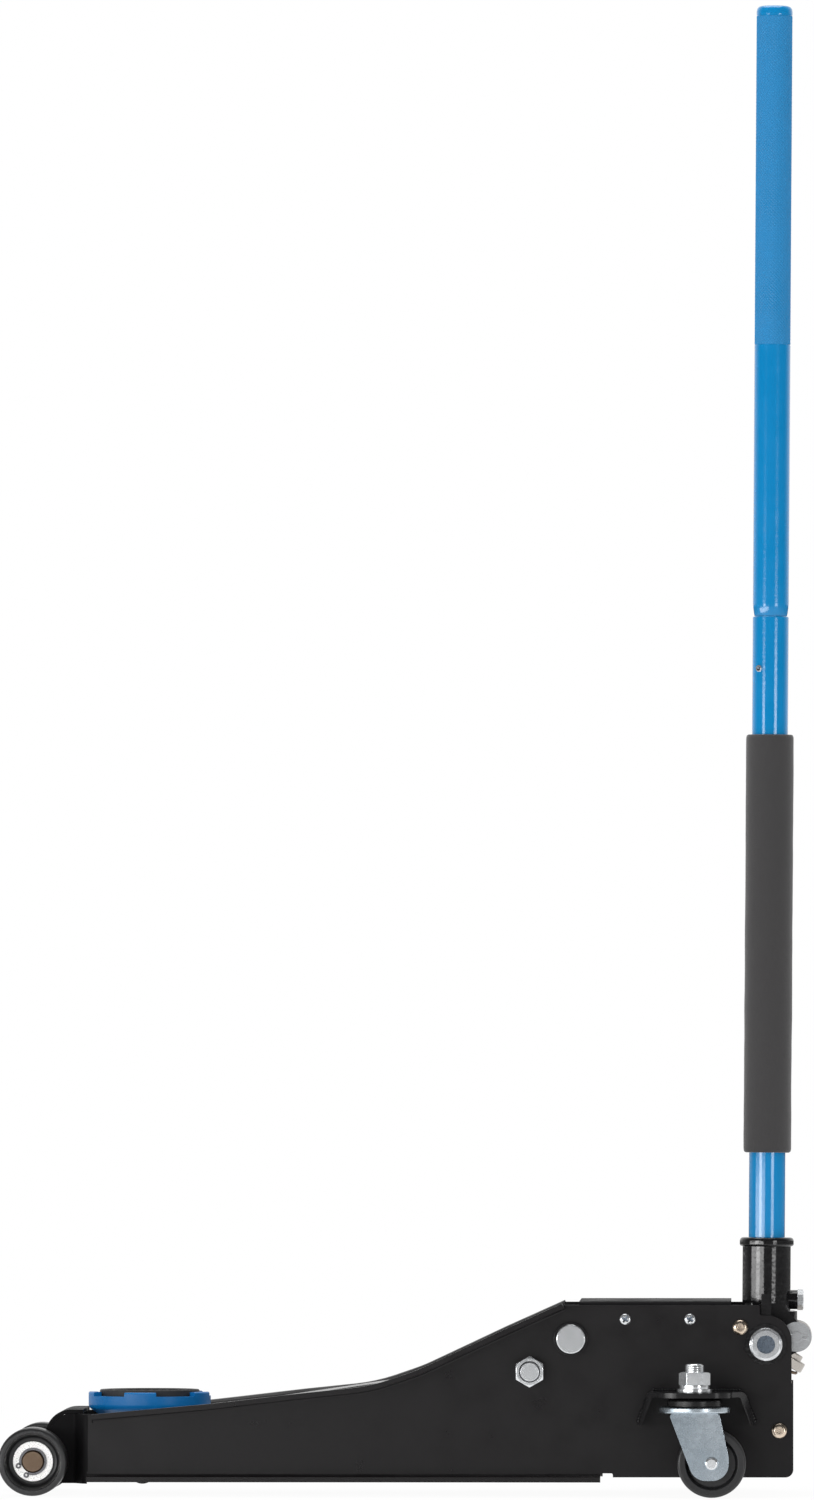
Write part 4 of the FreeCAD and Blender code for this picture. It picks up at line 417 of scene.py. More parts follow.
SKY_LIGHT = 0.90
FRONT_GLOSS = 0.04
GLOSS_FADE = (-0.1, 0.85)
world = bpy.data.worlds.new("studio_sky")
bpy.context.scene.world = world
world.use_nodes = True
sky = world.node_tree
sky.nodes.clear()
sky_out = sky.nodes.new("ShaderNodeOutputWorld")
direction = sky.nodes.new("ShaderNodeTexCoord")
axes = sky.nodes.new("ShaderNodeSeparateXYZ")
sky.links.new(direction.outputs["Generated"], axes.inputs["Vector"])
gloss = sky.nodes.new("ShaderNodeMapRange")
gloss.interpolation_type = "SMOOTHSTEP"
gloss.inputs["From Min"].default_value = GLOSS_FADE[0]
gloss.inputs["From Max"].default_value = GLOSS_FADE[1]
gloss.inputs["To Min"].default_value = FRONT_GLOSS
gloss.inputs["To Max"].default_value = 1.0
sky.links.new(axes.outputs["Y"], gloss.inputs["Value"])


def sky_layer(below, strength, switch):
    """Shows a sky of this strength to the rays that the switch picks, and below to the rest."""
    layer = sky.nodes.new("ShaderNodeBackground")
    layer.inputs["Color"].default_value = (1, 1, 1, 1)
    if isinstance(strength, float):
        layer.inputs["Strength"].default_value = strength
    else:
        sky.links.new(strength, layer.inputs["Strength"])
    if below is None:
        return layer.outputs["Background"]
    mixer = sky.nodes.new("ShaderNodeMixShader")
    sky.links.new(switch, mixer.inputs["Fac"])
    sky.links.new(below, mixer.inputs[1])
    sky.links.new(layer.outputs["Background"], mixer.inputs[2])
    return mixer.outputs["Shader"]


layers = sky_layer(None, SKY_LIGHT, None)
layers = sky_layer(layers, gloss.outputs["Result"], ray_switch(sky, "Is Glossy Ray"))
layers = sky_layer(layers, 1.0, ray_switch(sky, "Is Camera Ray", "Is Transmission Ray"))
sky.links.new(layers, sky_out.inputs["Surface"])
print("sky strength for light", SKY_LIGHT, "and for reflections", FRONT_GLOSS, "to 1")

# %% [markdown]
# The floor is a plain pale disc, a fifth of a millimetre below the wheels. For the camera it glows
# more with distance until it is as white as the sky. In reflections it is bright near the jack and
# dim far away.

# %% Floor
FLOOR_R = 60.0
FLOOR_Z = -0.0002
FLOOR_GREY = 0.88
FLOOR_GLOW = 0.95
FLOOR_GLOSS = (1.0, 0.15)
GLOW_FADE = (0.8, 3.0)
FLOOR_FADE = (0.9, 5.5)
clear_selection()
bpy.ops.mesh.primitive_circle_add(vertices=64, radius=FLOOR_R, fill_type="NGON",
                                  location=(0, 0, FLOOR_Z))
floor = bpy.context.object
floor.name = "floor"
settle(floor)
floor_paint = bpy.data.materials.new("studio_floor")
floor_paint.use_nodes = True
tree = floor_paint.node_tree
floor_shader = tree.nodes["Principled BSDF"]
floor_shader.inputs["Base Color"].default_value = (FLOOR_GREY, FLOOR_GREY, FLOOR_GREY, 1)
floor_shader.inputs["Roughness"].default_value = 0.8
place = tree.nodes.new("ShaderNodeTexCoord")
distance = tree.nodes.new("ShaderNodeVectorMath")
distance.operation = "LENGTH"
tree.links.new(place.outputs["Object"], distance.inputs[0])


def floor_layer(below, near, far, start, end, switch):
    """Lets the floor glow for some rays: strength near inside start metres, far beyond end."""
    ranger = tree.nodes.new("ShaderNodeMapRange")
    ranger.inputs["From Min"].default_value = start
    ranger.inputs["From Max"].default_value = end
    ranger.inputs["To Min"].default_value = near
    ranger.inputs["To Max"].default_value = far
    tree.links.new(distance.outputs["Value"], ranger.inputs["Value"])
    glow = tree.nodes.new("ShaderNodeEmission")
    mixer = tree.nodes.new("ShaderNodeMixShader")
    if near < far:
        amount = tree.nodes.new("ShaderNodeMath")
        amount.operation = "MULTIPLY"
        tree.links.new(switch, amount.inputs[0])
        tree.links.new(ranger.outputs["Result"], amount.inputs[1])
        switch = amount.outputs["Value"]
    else:
        tree.links.new(ranger.outputs["Result"], glow.inputs["Strength"])
    tree.links.new(switch, mixer.inputs["Fac"])
    tree.links.new(below, mixer.inputs[1])
    tree.links.new(glow.outputs["Emission"], mixer.inputs[2])
    return mixer.outputs["Shader"]


surface = floor_shader.outputs["BSDF"]
surface = floor_layer(surface, *FLOOR_GLOSS, *FLOOR_FADE, ray_switch(tree, "Is Glossy Ray"))
seen = ray_switch(tree, "Is Camera Ray", "Is Transmission Ray")
surface = floor_layer(surface, FLOOR_GLOW, 1.0, *GLOW_FADE, seen)
tree.links.new(surface, tree.nodes["Material Output"].inputs["Surface"])
floor.data.materials.append(floor_paint)
print("floor radius", FLOOR_R, "m")

# %% [markdown]
# ## Lamps
# Two soft boxes stand at the front, left and right, and each draws one bright line down a round
# tube. A long low card of light at the front left shows as an upright band on the glossy black
# socket. A soft lamp above lights the top faces.


# %% Lamps
def soft_lamp(name, place, target, width, height, watts):
    """A rectangle of light at a place (metres) that faces the target."""
    lamp = bpy.data.lights.new(name, "AREA")
    lamp.shape = "RECTANGLE"
    lamp.size = width
    lamp.size_y = height
    lamp.energy = watts
    holder = bpy.data.objects.new(name, lamp)
    holder.location = place
    aim = Vector(target) - Vector(place)
    holder.rotation_euler = aim.to_track_quat("-Z", "Y").to_euler()
    bpy.context.scene.collection.objects.link(holder)


soft_lamp("left_strip", (-3.03, -3.72, 0.46), (0.32, 0, 0.46), 1.5, 0.80, 26)
soft_lamp("right_strip", (3.19, -4.10, 0.46), (0.32, 0, 0.46), 1.5, 0.80, 24)
soft_lamp("top", (0.0, 0.4, 3.6), (0, 0, 0), 2.4, 2.0, 50)
soft_lamp("low_card", (-1.62, -1.92, 0.15), (0.3, 0, 0.15), 3.4, 0.24, 17)

bpy.context.scene.view_settings.view_transform = "Standard"

# %% [markdown]
# ## Rounded edges on the working parts
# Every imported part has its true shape, but its edges are perfectly sharp, and no real edge is: it
# is the thin highlight along a small radius that makes sheet metal look solid. A bevel modifier on
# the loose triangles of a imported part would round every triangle, so a copy of the part is merged
# first, its flat faces are dissolved to one, and then the bevel finds only the true edges.


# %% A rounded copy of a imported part
BODY_OF = frame["record"]["behaviour"]["bodies"]


FLAT_ANGLE = 0.4


def body_with(node):
    """The body that a node moves with."""
    for body, nodes in BODY_OF.items():
        if node in nodes:
            return body
    raise KeyError(node)


def rounded_copy(node, material, width):
    """Shows a node as a copy with rounded edges of this width (metres)."""
    clear_selection()
    source = frame["nodes"][node]
    copy = bpy.data.objects.new(node + ".edges", source.data.copy())
    bpy.context.scene.collection.objects.link(copy)
    take(copy)
    bpy.ops.object.mode_set(mode="EDIT")
    bpy.ops.mesh.select_all(action="SELECT")
    bpy.ops.mesh.remove_doubles(threshold=MERGE)
    bpy.ops.mesh.dissolve_limited(angle_limit=math.radians(FLAT_ANGLE))
    bpy.ops.object.mode_set(mode="OBJECT")
    round_edges(copy, width)
    smooth(copy)
    return finish(copy, material, body_with(node), replaces=[node])


print("bodies:", {body: len(nodes) for body, nodes in BODY_OF.items()})

# %% [markdown]
# ## Finishes for the working parts
# The list goes by finish, as a works order for paint and plating would. Each line has the size of
# the edge: pressed plate has a wide soft edge under its paint, and turned parts a narrow one.

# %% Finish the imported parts
SIDES = (("right", 1), ("left", -1))
EDGES = (
    (BLACK, "black_paint", 0.0006, ("lift_arm", "handle_yoke")),
    (PLATE_BLACK, "black_paint", 0.0006, ("side_plate_right", "side_plate_left")),
    (BLACK, "black_paint", 0.0014, ("caster_bracket_right", "caster_bracket_left")),
    (BLACK, "black_paint", 0.0004, ("rear_crossmember", "mid_crossmember", "tie_tube",
                                    "link_rods", "saddle_carrier", "ram_gland",
                                    "reservoir_tube", "lift_shaft_collars", "spring_posts")),
    (SOCKET_BLACK, "black_paint", 0.0006, ("handle_socket",)),
    (COVER_BLACK, "black_paint", 0.0004, ("top_cover", "front_cross_plate")),
    (SADDLE_BLUE, "blue_paint", 0.0012, ("saddle",)),
    # The washers' pale zinc is a painted reflection of the bright floor.
    (PAINTED_REFLECTION_ZINC, "zinc", 0.0003, ("front_axle_washers",)),
    (ZINC, "zinc", 0.0003, ("cover_screws", "lift_shaft_caps", "link_pivot_nuts",
                            "link_pivot_studs", "caster_studs", "handle_pivot_bolts",
                            "caster_washers", "caster_nuts", "roller_pin", "roller_spacers",
                            "clamp_bolt", "handle_button", "guard_nuts", "carrier_pin",
                            "caster_axle_right", "caster_axle_left")),
    (FORK_ZINC, "zinc", 0.0009, ("caster_fork_right", "caster_fork_left")),
    (YELLOW_ZINC, "yellow_zinc", 0.0002, ("frame_bolts",)),
    (WARM_STEEL, "steel", 0.0003, ("front_axle",)),
    (STEEL, "steel", 0.0003, ("lift_pivot_shaft", "arm_front_pin", "crosshead_pin", "ram",
                              "pump_plunger", "pump_roller")),
    (CAST_BLOCK, "cast_block", 0.0008, ("hydraulic_block",)),
    (CAST_BLOCK, "cast_block", 0.0003, ("pump_cylinder", "release_valve")),
    (WHEEL_BLACK, "black_wheel", 0.0003, ("front_wheel_right", "front_wheel_left",
                                          "caster_wheel_right", "caster_wheel_left")),
)
finished = {}
for material, slot, width, nodes in EDGES:
    for node in nodes:
        finished[node] = rounded_copy(node, material, width)
        print(node, len(finished[node].data.polygons), "faces")

# %% [markdown]
# ## The handle tubes
# Each half of the handle is one drawn tube. Its outline is so simple that the lathe can follow it
# from the frame's own sizes: a rounded mouth where the halves meet, a straight wall and a domed
# plug at the top. It leans a little, so every turned piece is laid on the line between the middles
# of the handle's two ends.


# %% Handle line
def middle_of(node, level):
    """A point on a leaning round part's axis, at the height of its lowest or highest end."""
    low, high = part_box(node)
    radius = 0.5 * (high.y - low.y)
    x = low.x + radius if level == "low" else high.x - radius
    z = low.z if level == "low" else high.z
    return Vector((x, 0, z))


def radius_of(node):
    """Half the width across the jack, in millimetres."""
    low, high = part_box(node)
    return 0.5 * (high.y - low.y) / MM


def along_handle(node, level):
    """How far up the handle's line a leaning part starts or ends, in millimetres."""
    return (middle_of(node, level) - tube_foot).length / MM


tube_foot = middle_of("lower_handle", "low")
tube_top = middle_of("upper_handle", "high")
HANDLE_AXIS = (tube_top - tube_foot).normalized()
TUBE_R = radius_of("lower_handle")
TUBE_TOP = along_handle("upper_handle", "high")
MOUTH = along_handle("lower_handle", "high")
print("handle leans", round(math.degrees(math.atan2(HANDLE_AXIS.x, HANDLE_AXIS.z)), 2), "degrees")

# %% [markdown]
# The lower tube is an open pipe with a rounded lip. The upper tube goes 20 mm into it, and above
# the joint its wall curves out to the full width. Its grip is turned down a little for the knurl.

# %% Lower and upper tube
KNURL_LOW = TUBE_TOP - 300
KNURL_HIGH = TUBE_TOP - 9
KNURL_DEPTH = 0.35
KNURL_BASE = TUBE_R - KNURL_DEPTH
lower_tube = lathe("handle.lower_tube", [
    (TUBE_R - 2, 0), (TUBE_R, 0), (TUBE_R, MOUTH - 1.2), (TUBE_R - 0.4, MOUTH - 0.4),
    (TUBE_R - 1.0, MOUTH), (TUBE_R - 2, MOUTH), (TUBE_R - 2, 0),
], tube_foot, HANDLE_AXIS)
finish(lower_tube, BLUE, body_with("lower_handle"), ["lower_handle"])

neck = MOUTH + 0.4
upper_tube = lathe("handle.upper_tube", [
    (0, neck - 20), (TUBE_R - 2.2, neck - 20), (TUBE_R - 2.2, neck), (TUBE_R - 1.6, neck),
    (TUBE_R - 1.0, neck + 2.5), (TUBE_R - 0.3, neck + 7.5), (TUBE_R, neck + 11),
    (TUBE_R, KNURL_LOW - 1), (KNURL_BASE - 0.1, KNURL_LOW), (KNURL_BASE - 0.1, KNURL_HIGH),
    (TUBE_R, KNURL_HIGH + 1), (TUBE_R, TUBE_TOP - 5), (TUBE_R - 0.5, TUBE_TOP - 2.8),
    (TUBE_R - 1.9, TUBE_TOP - 1.0), (TUBE_R - 4, TUBE_TOP - 0.2), (0, TUBE_TOP),
], tube_foot, HANDLE_AXIS)
finish(upper_tube, BLUE, body_with("upper_handle"), ["upper_handle"])
print("tube faces", len(lower_tube.data.polygons), len(upper_tube.data.polygons))

# %% [markdown]
# ## The knurled grip
# Knurling is rolled into the tube by two toothed wheels, which leave rows of small pyramids. A
# bump texture would do from afar, but it would stay flat against the sky. Here a tube of square
# faces is poked, its first edges are dissolved so that diamonds remain, and each diamond is poked
# again, outward, into a pyramid.

# %% Knurl
KNURL_COLUMNS = 32
KNURL_PITCH = math.tau * TUBE_R / KNURL_COLUMNS
KNURL_PEAK = 0.00042
RIM_GAP = 0.00001
knurl_rows = round((KNURL_HIGH - KNURL_LOW) / KNURL_PITCH)
knurl = first_point("handle.knurl", Vector((KNURL_BASE, 0, KNURL_LOW)) * MM)
step = Vector((0, 0, KNURL_HIGH - KNURL_LOW)) * MM
bpy.ops.mesh.extrude_vertices_move(TRANSFORM_OT_translate={"value": step})
bpy.ops.mesh.select_all(action="SELECT")
bpy.ops.mesh.subdivide(number_cuts=knurl_rows - 1)
bpy.ops.mesh.spin(steps=KNURL_COLUMNS, angle=math.tau, center=(0, 0, 0), axis=(0, 0, 1))
close_up(merge=0.00001)
bpy.ops.mesh.mark_seam(clear=False)
bpy.ops.mesh.poke()
bpy.ops.mesh.select_all(action="DESELECT")
bpy.ops.object.mode_set(mode="OBJECT")
rim_low = KNURL_LOW * MM + RIM_GAP
rim_high = KNURL_HIGH * MM - RIM_GAP
for edge in knurl.data.edges:
    heights = [knurl.data.vertices[v].co.z for v in edge.vertices]
    on_rim = max(heights) < rim_low or min(heights) > rim_high
    edge.select = edge.use_seam and not on_rim
bpy.ops.object.mode_set(mode="EDIT")
bpy.ops.mesh.select_mode(type="EDGE")
bpy.ops.mesh.dissolve_edges(use_verts=False)
bpy.ops.mesh.select_mode(type="FACE")
bpy.ops.mesh.select_all(action="SELECT")
bpy.ops.mesh.mark_seam(clear=True)
bpy.ops.mesh.poke(offset=KNURL_PEAK)
bpy.ops.mesh.select_mode(type="VERT")
bpy.ops.mesh.select_all(action="SELECT")
bpy.ops.mesh.normals_make_consistent(inside=False)
bpy.ops.object.mode_set(mode="OBJECT")
lay_on(knurl, tube_foot, HANDLE_AXIS)
finish(knurl, KNURL_BLUE, body_with("upper_handle"))
print("knurl", knurl_rows, "rows,", len(knurl.data.polygons), "faces")

# %% [markdown]
# ## The foam grip
# A foam sleeve is blown on over the tube with air, so it hugs the tube, bulges a little at random
# and pulls in at its cut ends. It could be a plain cylinder with a bump, but its edge against the
# white sky would then be ruler straight. The lathe gives it rings to move, and a cloud pattern
# moves them by a fraction of a millimetre.

# %% Foam sleeve
foam_low = along_handle("foam_sleeve", "low")
foam_high = along_handle("foam_sleeve", "high")
FOAM_R = radius_of("foam_sleeve")
FOAM_RINGS = 60
SWELL = 0.0007
foam_section = [(TUBE_R + 0.1, foam_low), (FOAM_R - 2.0, foam_low), (FOAM_R - 0.7, foam_low + 0.7),
                (FOAM_R - 0.1, foam_low + 2.4)]
ring_step = (foam_high - foam_low - 8) / FOAM_RINGS
foam_section += [(FOAM_R, foam_low + 4 + i * ring_step) for i in range(FOAM_RINGS + 1)]
foam_section += [(FOAM_R - 0.1, foam_high - 2.4), (FOAM_R - 0.7, foam_high - 0.7),
                 (FOAM_R - 2.0, foam_high), (TUBE_R + 0.1, foam_high), (TUBE_R + 0.1, foam_low)]
foam = lathe("handle.foam", foam_section, tube_foot, HANDLE_AXIS, steps=72, angle=50)
swell = bpy.data.textures.new("foam_swell", "CLOUDS")
swell.noise_scale = 0.035
push = foam.modifiers.new("swell", "DISPLACE")
push.texture = swell
push.texture_coords = "LOCAL"
push.strength = SWELL
use_modifiers(foam)
finish(foam, FOAM, body_with("foam_sleeve"), ["foam_sleeve"])
print("foam faces", len(foam.data.polygons))

# %% [markdown]
# ## Second finishes on one part
# Some parts are one piece of steel with two looks: the pivot bolt is bright on its chamfer, with
# a dark steel in its dished middle as painted shade, and the caster's upper race is painted while
# its stud is plated. The side plates are duller at the nose, and glossy in the pressed ring round
# the pivot bolt. The faces are picked by where their corners are, and get a second material.


# %% Repaint some faces of a finished part
def repaint(node, material, where):
    """Gives a second material to the faces whose corners pass the test."""
    piece = finished[node]
    piece.data.materials.append(material)
    count = 0
    for face in piece.data.polygons:
        if where([piece.data.vertices[i].co for i in face.vertices]):
            face.material_index = len(piece.data.materials) - 1
            count += 1
    print(node, "has", count, "faces in", material.name)


def centre_of(node):
    low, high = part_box(node)
    return 0.5 * (Vector(low) + Vector(high))


def from_pivot(point):
    """How far a point is from the line of the handle's pivot bolts."""
    return math.hypot(point.x - PIVOT.x, point.z - PIVOT.z)


def from_stud(point):
    """How far a point is from the upright line through the caster stud of its own side."""
    return math.hypot(point.x - CASTER.x, abs(point.y) - CASTER.y)


PIVOT = centre_of("handle_pivot_bolts")
CASTER = Vector((centre_of("caster_nuts").x, centre_of("caster_wheel_right").y, 0))
DISH_R = 0.0086
BOLT_HEAD_R = 0.0149
STUD_R = 0.0125
PIVOT_RING_R = 0.0192
NOSE_STEP_X = -0.272
# The dished middle of the bolt gets dark steel: painted shade in the recess.
repaint("handle_pivot_bolts", PAINTED_SHADE_STEEL,
        lambda points: all(from_pivot(p) < DISH_R for p in points))
repaint("handle_pivot_bolts", BLACK,
        lambda points: any(from_pivot(p) > BOLT_HEAD_R for p in points))
repaint("caster_studs", BLACK,
        lambda points: any(from_stud(p) > STUD_R for p in points))
for side, sign in SIDES:
    repaint("side_plate_" + side, COVER_BLACK,
            lambda points: all(p.x < NOSE_STEP_X for p in points))
    repaint("side_plate_" + side, SOCKET_BLACK,
            lambda points: all(from_pivot(p) < PIVOT_RING_R for p in points))

# %% [markdown]
# ## Springs and screw threads
# Both are one shape carried round and along an axis: a round wire makes a spring, and a three-sided
# ridge on a stud makes its thread. A curve with a bevel could do it, but the screw modifier keeps
# the section square to the turn and gives exactly the turns that are asked for.


# %% Wind a wire or a thread
def wind(name, corners, wire_r, radius, length, turns, centre, axis, steps=18):
    """Sizes in millimetres, centre in metres at the start of the coil, steps for each turn."""
    clear_selection()
    bpy.ops.mesh.primitive_circle_add(vertices=corners, radius=wire_r * MM, fill_type="NOTHING",
                                      location=(radius * MM, 0, 0), rotation=(math.pi / 2, 0, 0))
    obj = bpy.context.object
    obj.name = name
    settle(obj)
    screw = obj.modifiers.new("turns", "SCREW")
    screw.angle = math.tau * turns
    screw.screw_offset = length * MM
    screw.steps = screw.render_steps = max(2, round(steps * turns))
    use_modifiers(obj)
    bpy.ops.object.mode_set(mode="EDIT")
    close_up(holes=True)
    bpy.ops.object.mode_set(mode="OBJECT")
    lay_on(obj, centre, axis)
    smooth(obj, 50)
    return obj


def joined(name, pieces):
    """Makes one object of several, which the first of them becomes."""
    clear_selection()
    for piece in pieces:
        piece.select_set(True)
    bpy.context.view_layer.objects.active = pieces[0]
    bpy.ops.object.join()
    pieces[0].name = name
    return pieces[0]

# %% [markdown]
# A return spring is hooked to the frame behind and to the ram's pin in front, so it stretches as
# the jack lifts. Here it is wound once at its length at rest and joined to its end loops, and it is
# not given to a body.

# %% Return springs, with a loop at each end
SPRING_Y = 0.060
SPRING_Z = 0.0756
WIRE_R = 1.2
COIL_R = 7.0
COIL_TURNS = 18.75
COIL_INSET = 0.0023
LOOP_R = 5.6
LOOP_INSET = 0.0045
spring_low, spring_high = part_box("return_springs")
start = spring_low.x + COIL_INSET
end = spring_high.x - COIL_INSET


def end_loop(x, y):
    """Most of a turn across the coil's end, to hold on to a post or pin."""
    return wind("loop", 8, WIRE_R, LOOP_R, 1.5, 0.9, (x, y, SPRING_Z), (0, 1, 0))


for side, sign in SIDES:
    y = sign * SPRING_Y
    coil = wind("coil", 8, WIRE_R, COIL_R, (end - start) / MM, COIL_TURNS,
                (start, y, SPRING_Z), (1, 0, 0))
    loops = [end_loop(start + LOOP_INSET, y), end_loop(end - LOOP_INSET, y)]
    spring = joined("return_spring_" + side, [coil] + loops)
    spring.data.materials.clear()
    spring.data.materials.append(SPRING_WIRE_AND_PAINTED_SHADE)
    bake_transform(spring)
    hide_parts("return_springs")
    print(spring.name, len(spring.data.polygons), "faces")

# %% [markdown]
# The pump's spring stands on the slanted cylinder and pushes the plunger up against the roller.
# It is wound at one length from its foot on the cylinder, and moves with the imported spring's body.

# %% Plunger spring
PUMP_AXIS = Vector((0.5, 0, 0.866)).normalized()
PUMP_SIDE = Vector((0.866, 0, -0.5))
PUMP_HEAD = Vector((0.344, 0, 0.139)) + PUMP_SIDE * 0.0034
PUMP_REACH = 0.06765
PUMP_FOOT = PUMP_HEAD - PUMP_AXIS * PUMP_REACH
PLUNGER_COIL = 39.0
PLUNGER_WIRE_R = 1.4
PLUNGER_COIL_R = 12.5
PLUNGER_TURNS = 4.0
plunger_spring = wind("plunger_coil", 10, PLUNGER_WIRE_R, PLUNGER_COIL_R, PLUNGER_COIL,
                      PLUNGER_TURNS, PUMP_FOOT, PUMP_AXIS, steps=36)
finish(plunger_spring, WARM_STEEL, body_with("plunger_spring"),
       replaces=["plunger_spring"])

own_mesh(plunger_spring)

# %% [markdown]
# A stud's thread is cut deep, but only its crests show past the nut. So just the crests are wound,
# as a three-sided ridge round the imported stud, from a little inside the nut to just below the end.

# %% Threads on the ends of the studs
THREAD_PITCH = 1.8
THREAD_STEPS = 32
THREAD_SINK = 0.0002
THREAD_END = 0.0012
CASTER_RIDGE_R = 0.75
CASTER_THREAD_R = 7.95
LINK_RIDGE_R = 0.6
LINK_THREAD_R = 7.9
LINK_THREAD_LENGTH = 1.5
LINK_TURNS = 1.2
stud_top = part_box("caster_studs")[1].z
nut_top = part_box("caster_nuts")[1].z
link = centre_of("link_pivot_nuts")
link_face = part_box("link_pivot_nuts")[1].y
turns = (stud_top - nut_top - THREAD_END) / MM / THREAD_PITCH
for side, sign in SIDES:
    thread = wind("caster_thread_" + side, 3, CASTER_RIDGE_R, CASTER_THREAD_R,
                  turns * THREAD_PITCH, turns,
                  (CASTER.x, sign * CASTER.y, nut_top - THREAD_SINK), (0, 0, 1), THREAD_STEPS)
    finish(thread, ZINC, body_with("caster_studs"))
    link_thread = wind("link_thread_" + side, 3, LINK_RIDGE_R, LINK_THREAD_R,
                       LINK_THREAD_LENGTH, LINK_TURNS,
                       (link.x, sign * (link_face - THREAD_SINK), link.z), (0, sign, 0),
                       THREAD_STEPS)
    finish(link_thread, ZINC, body_with("link_pivot_studs"))
    print(thread.name, link_thread.name, round(turns, 1), "turns on the caster's")

# %% [markdown]
# ## Recesses for the screwdriver and the thumb
# The cover screws have a cross recess, and the handle's spring button has a dimple. A recess is
# best cut with a boolean modifier, because the cutter's shape and finish both carry over to the cut.
# The finish given to each cut is a dark one, painted shade in the hollow.


# %% Cut with a shape
def cut_away(node, cutter, material):
    """Cuts the cutter's shape out of a finished part, and gives the cut its own material: dark, as
    painted shade.
    """
    piece = finished[node]
    cutter.data.materials.clear()
    cutter.data.materials.append(material)
    hole = piece.modifiers.new("recess", "BOOLEAN")
    hole.operation = "DIFFERENCE"
    hole.solver = "EXACT"
    hole.use_self = True
    hole.material_mode = "TRANSFER"
    hole.object = cutter
    use_modifiers(piece)
    bpy.data.objects.remove(cutter)
    smooth(piece)
    print(node, len(piece.data.polygons), "faces after the cut")


# %% [markdown]
# A cross recess is two slots at right angles, so two crossed bars cut it in each screw. They are
# turned a little, because a screw seldom stops with its cross upright.

# %% Cross recesses of the cover screws
CROSS_BAR = (0.0062, 0.0030, 0.0015)
CROSS_TILT = 0.5
screw_low, screw_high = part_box("cover_screws")
head_r = 0.5 * (screw_high.z - screw_low.z)
bars = []
for x in (screw_low.x + head_r, screw_high.x - head_r):
    for y in (screw_low.y, screw_high.y):
        for tilt in (CROSS_TILT, CROSS_TILT + math.pi / 2):
            clear_selection()
            bpy.ops.mesh.primitive_cube_add(size=1, location=(x, y, screw_low.z + head_r),
                                            rotation=(0, tilt, 0), scale=CROSS_BAR)
            bars.append(settle(bpy.context.object))
# The cross recesses get dark steel: painted shade in the slots.
cut_away("cover_screws", joined("cross_cutter", bars), PAINTED_SHADE_STEEL)

# %% [markdown]
# A nut's hole is countersunk, so that the stud finds its way in. A blunt cone that lies half in
# the nut's face cuts the countersink, and its dark wire steel paints the ring round the stud's end
# as painted shade.

# %% Countersinks round the link studs
SINK_WIDE_R = 0.0108
SINK_NARROW_R = 0.0080
SINK_DEPTH = 0.0026
cones = []
for sign in (1, -1):
    clear_selection()
    bpy.ops.mesh.primitive_cone_add(vertices=48, radius1=SINK_WIDE_R, radius2=SINK_NARROW_R,
                                    depth=SINK_DEPTH, location=(link.x, sign * link_face, link.z),
                                    rotation=(sign * math.pi / 2, 0, 0))
    cones.append(settle(bpy.context.object))
# The countersinks get dark spring-wire steel: painted shade round the stud.
cut_away("link_pivot_nuts", joined("countersinks", cones), SPRING_WIRE_AND_PAINTED_SHADE)

# %% [markdown]
# The button is pressed with a thumb tip, so its face has a shallow dimple. The cutter is a small
# ball that stands on the line from the tube's middle through the button.

# %% Dimple of the spring button
THUMB_R = 0.0022
THUMB_OUT = 0.0014
button = centre_of("handle_button")
beside = tube_foot + HANDLE_AXIS * (button - tube_foot).dot(HANDLE_AXIS)
outward = (button - beside).normalized()
tip = max((v.co - beside).dot(outward) for v in finished["handle_button"].data.vertices)
clear_selection()
bpy.ops.mesh.primitive_uv_sphere_add(segments=24, ring_count=12, radius=THUMB_R,
                                     location=beside + outward * (tip + THUMB_OUT))
thumb = settle(bpy.context.object)
# The dimple gets dark steel: painted shade in the hollow.
cut_away("handle_button", thumb, PAINTED_SHADE_STEEL)
print("button stands", round(tip / MM, 2), "mm from the tube's middle")

# %% [markdown]
# ## Saddle pad
# The cup of the saddle holds a moulded rubber disc that keeps steel off a car's sill. It is dished
# a little, with two raised rings and a field of small studs that grip. A disc with a bump pattern
# would look flat from low down, so the rings are turned with the disc, and one stud is made and
# copied round in rows.

# %% Turn the pad with its dish and rings
pad_low, pad_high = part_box("saddle_pad")
PAD_R = 0.5 * (pad_high.x - pad_low.x) / MM
PAD_H = (pad_high.z - pad_low.z) / MM
PAD_FOOT = Vector((0.5 * (pad_low.x + pad_high.x), 0, pad_low.z))
pad_section = [
    (0, 0), (PAD_R - 0.5, 0), (PAD_R, 0.6),
    (PAD_R, PAD_H - 0.8), (PAD_R - 0.8, PAD_H), (PAD_R - 4.0, PAD_H), (PAD_R - 4.8, PAD_H - 2.0),
    (PAD_R - 9.0, PAD_H - 2.2), (PAD_R - 9.6, PAD_H - 0.5), (PAD_R - 12.4, PAD_H - 0.6),
    (PAD_R - 13.0, PAD_H - 2.5), (18, PAD_H - 3.0), (0, PAD_H - 3.3),
]
saddle_disc = lathe("saddle_disc", pad_section, PAD_FOOT, edge=0.0003)
print("pad radius", round(PAD_R, 2), "mm, height", round(PAD_H, 2), "mm")


# %% One grip stud, copied in rows
STUD_WIDTH = 3.4
STUD_HEIGHT = 2.6
STUD_LEVEL = PAD_H - STUD_HEIGHT
STUD_ROWS = ((0, 1), (7.5, 6), (15, 12), (22.5, 18), (29, 24))


def grip_stud():
    """A small block with chamfered edges, round the origin."""
    clear_selection()
    bpy.ops.mesh.primitive_cube_add(size=1, location=(0, 0, 0))
    stud = bpy.context.object
    bpy.ops.object.mode_set(mode="EDIT")
    bpy.ops.mesh.select_all(action="SELECT")
    bpy.ops.mesh.bevel(offset=0.18, segments=1)
    bpy.ops.object.mode_set(mode="OBJECT")
    stud.scale = (STUD_WIDTH * MM, STUD_WIDTH * MM, STUD_HEIGHT * MM)
    return settle(stud)


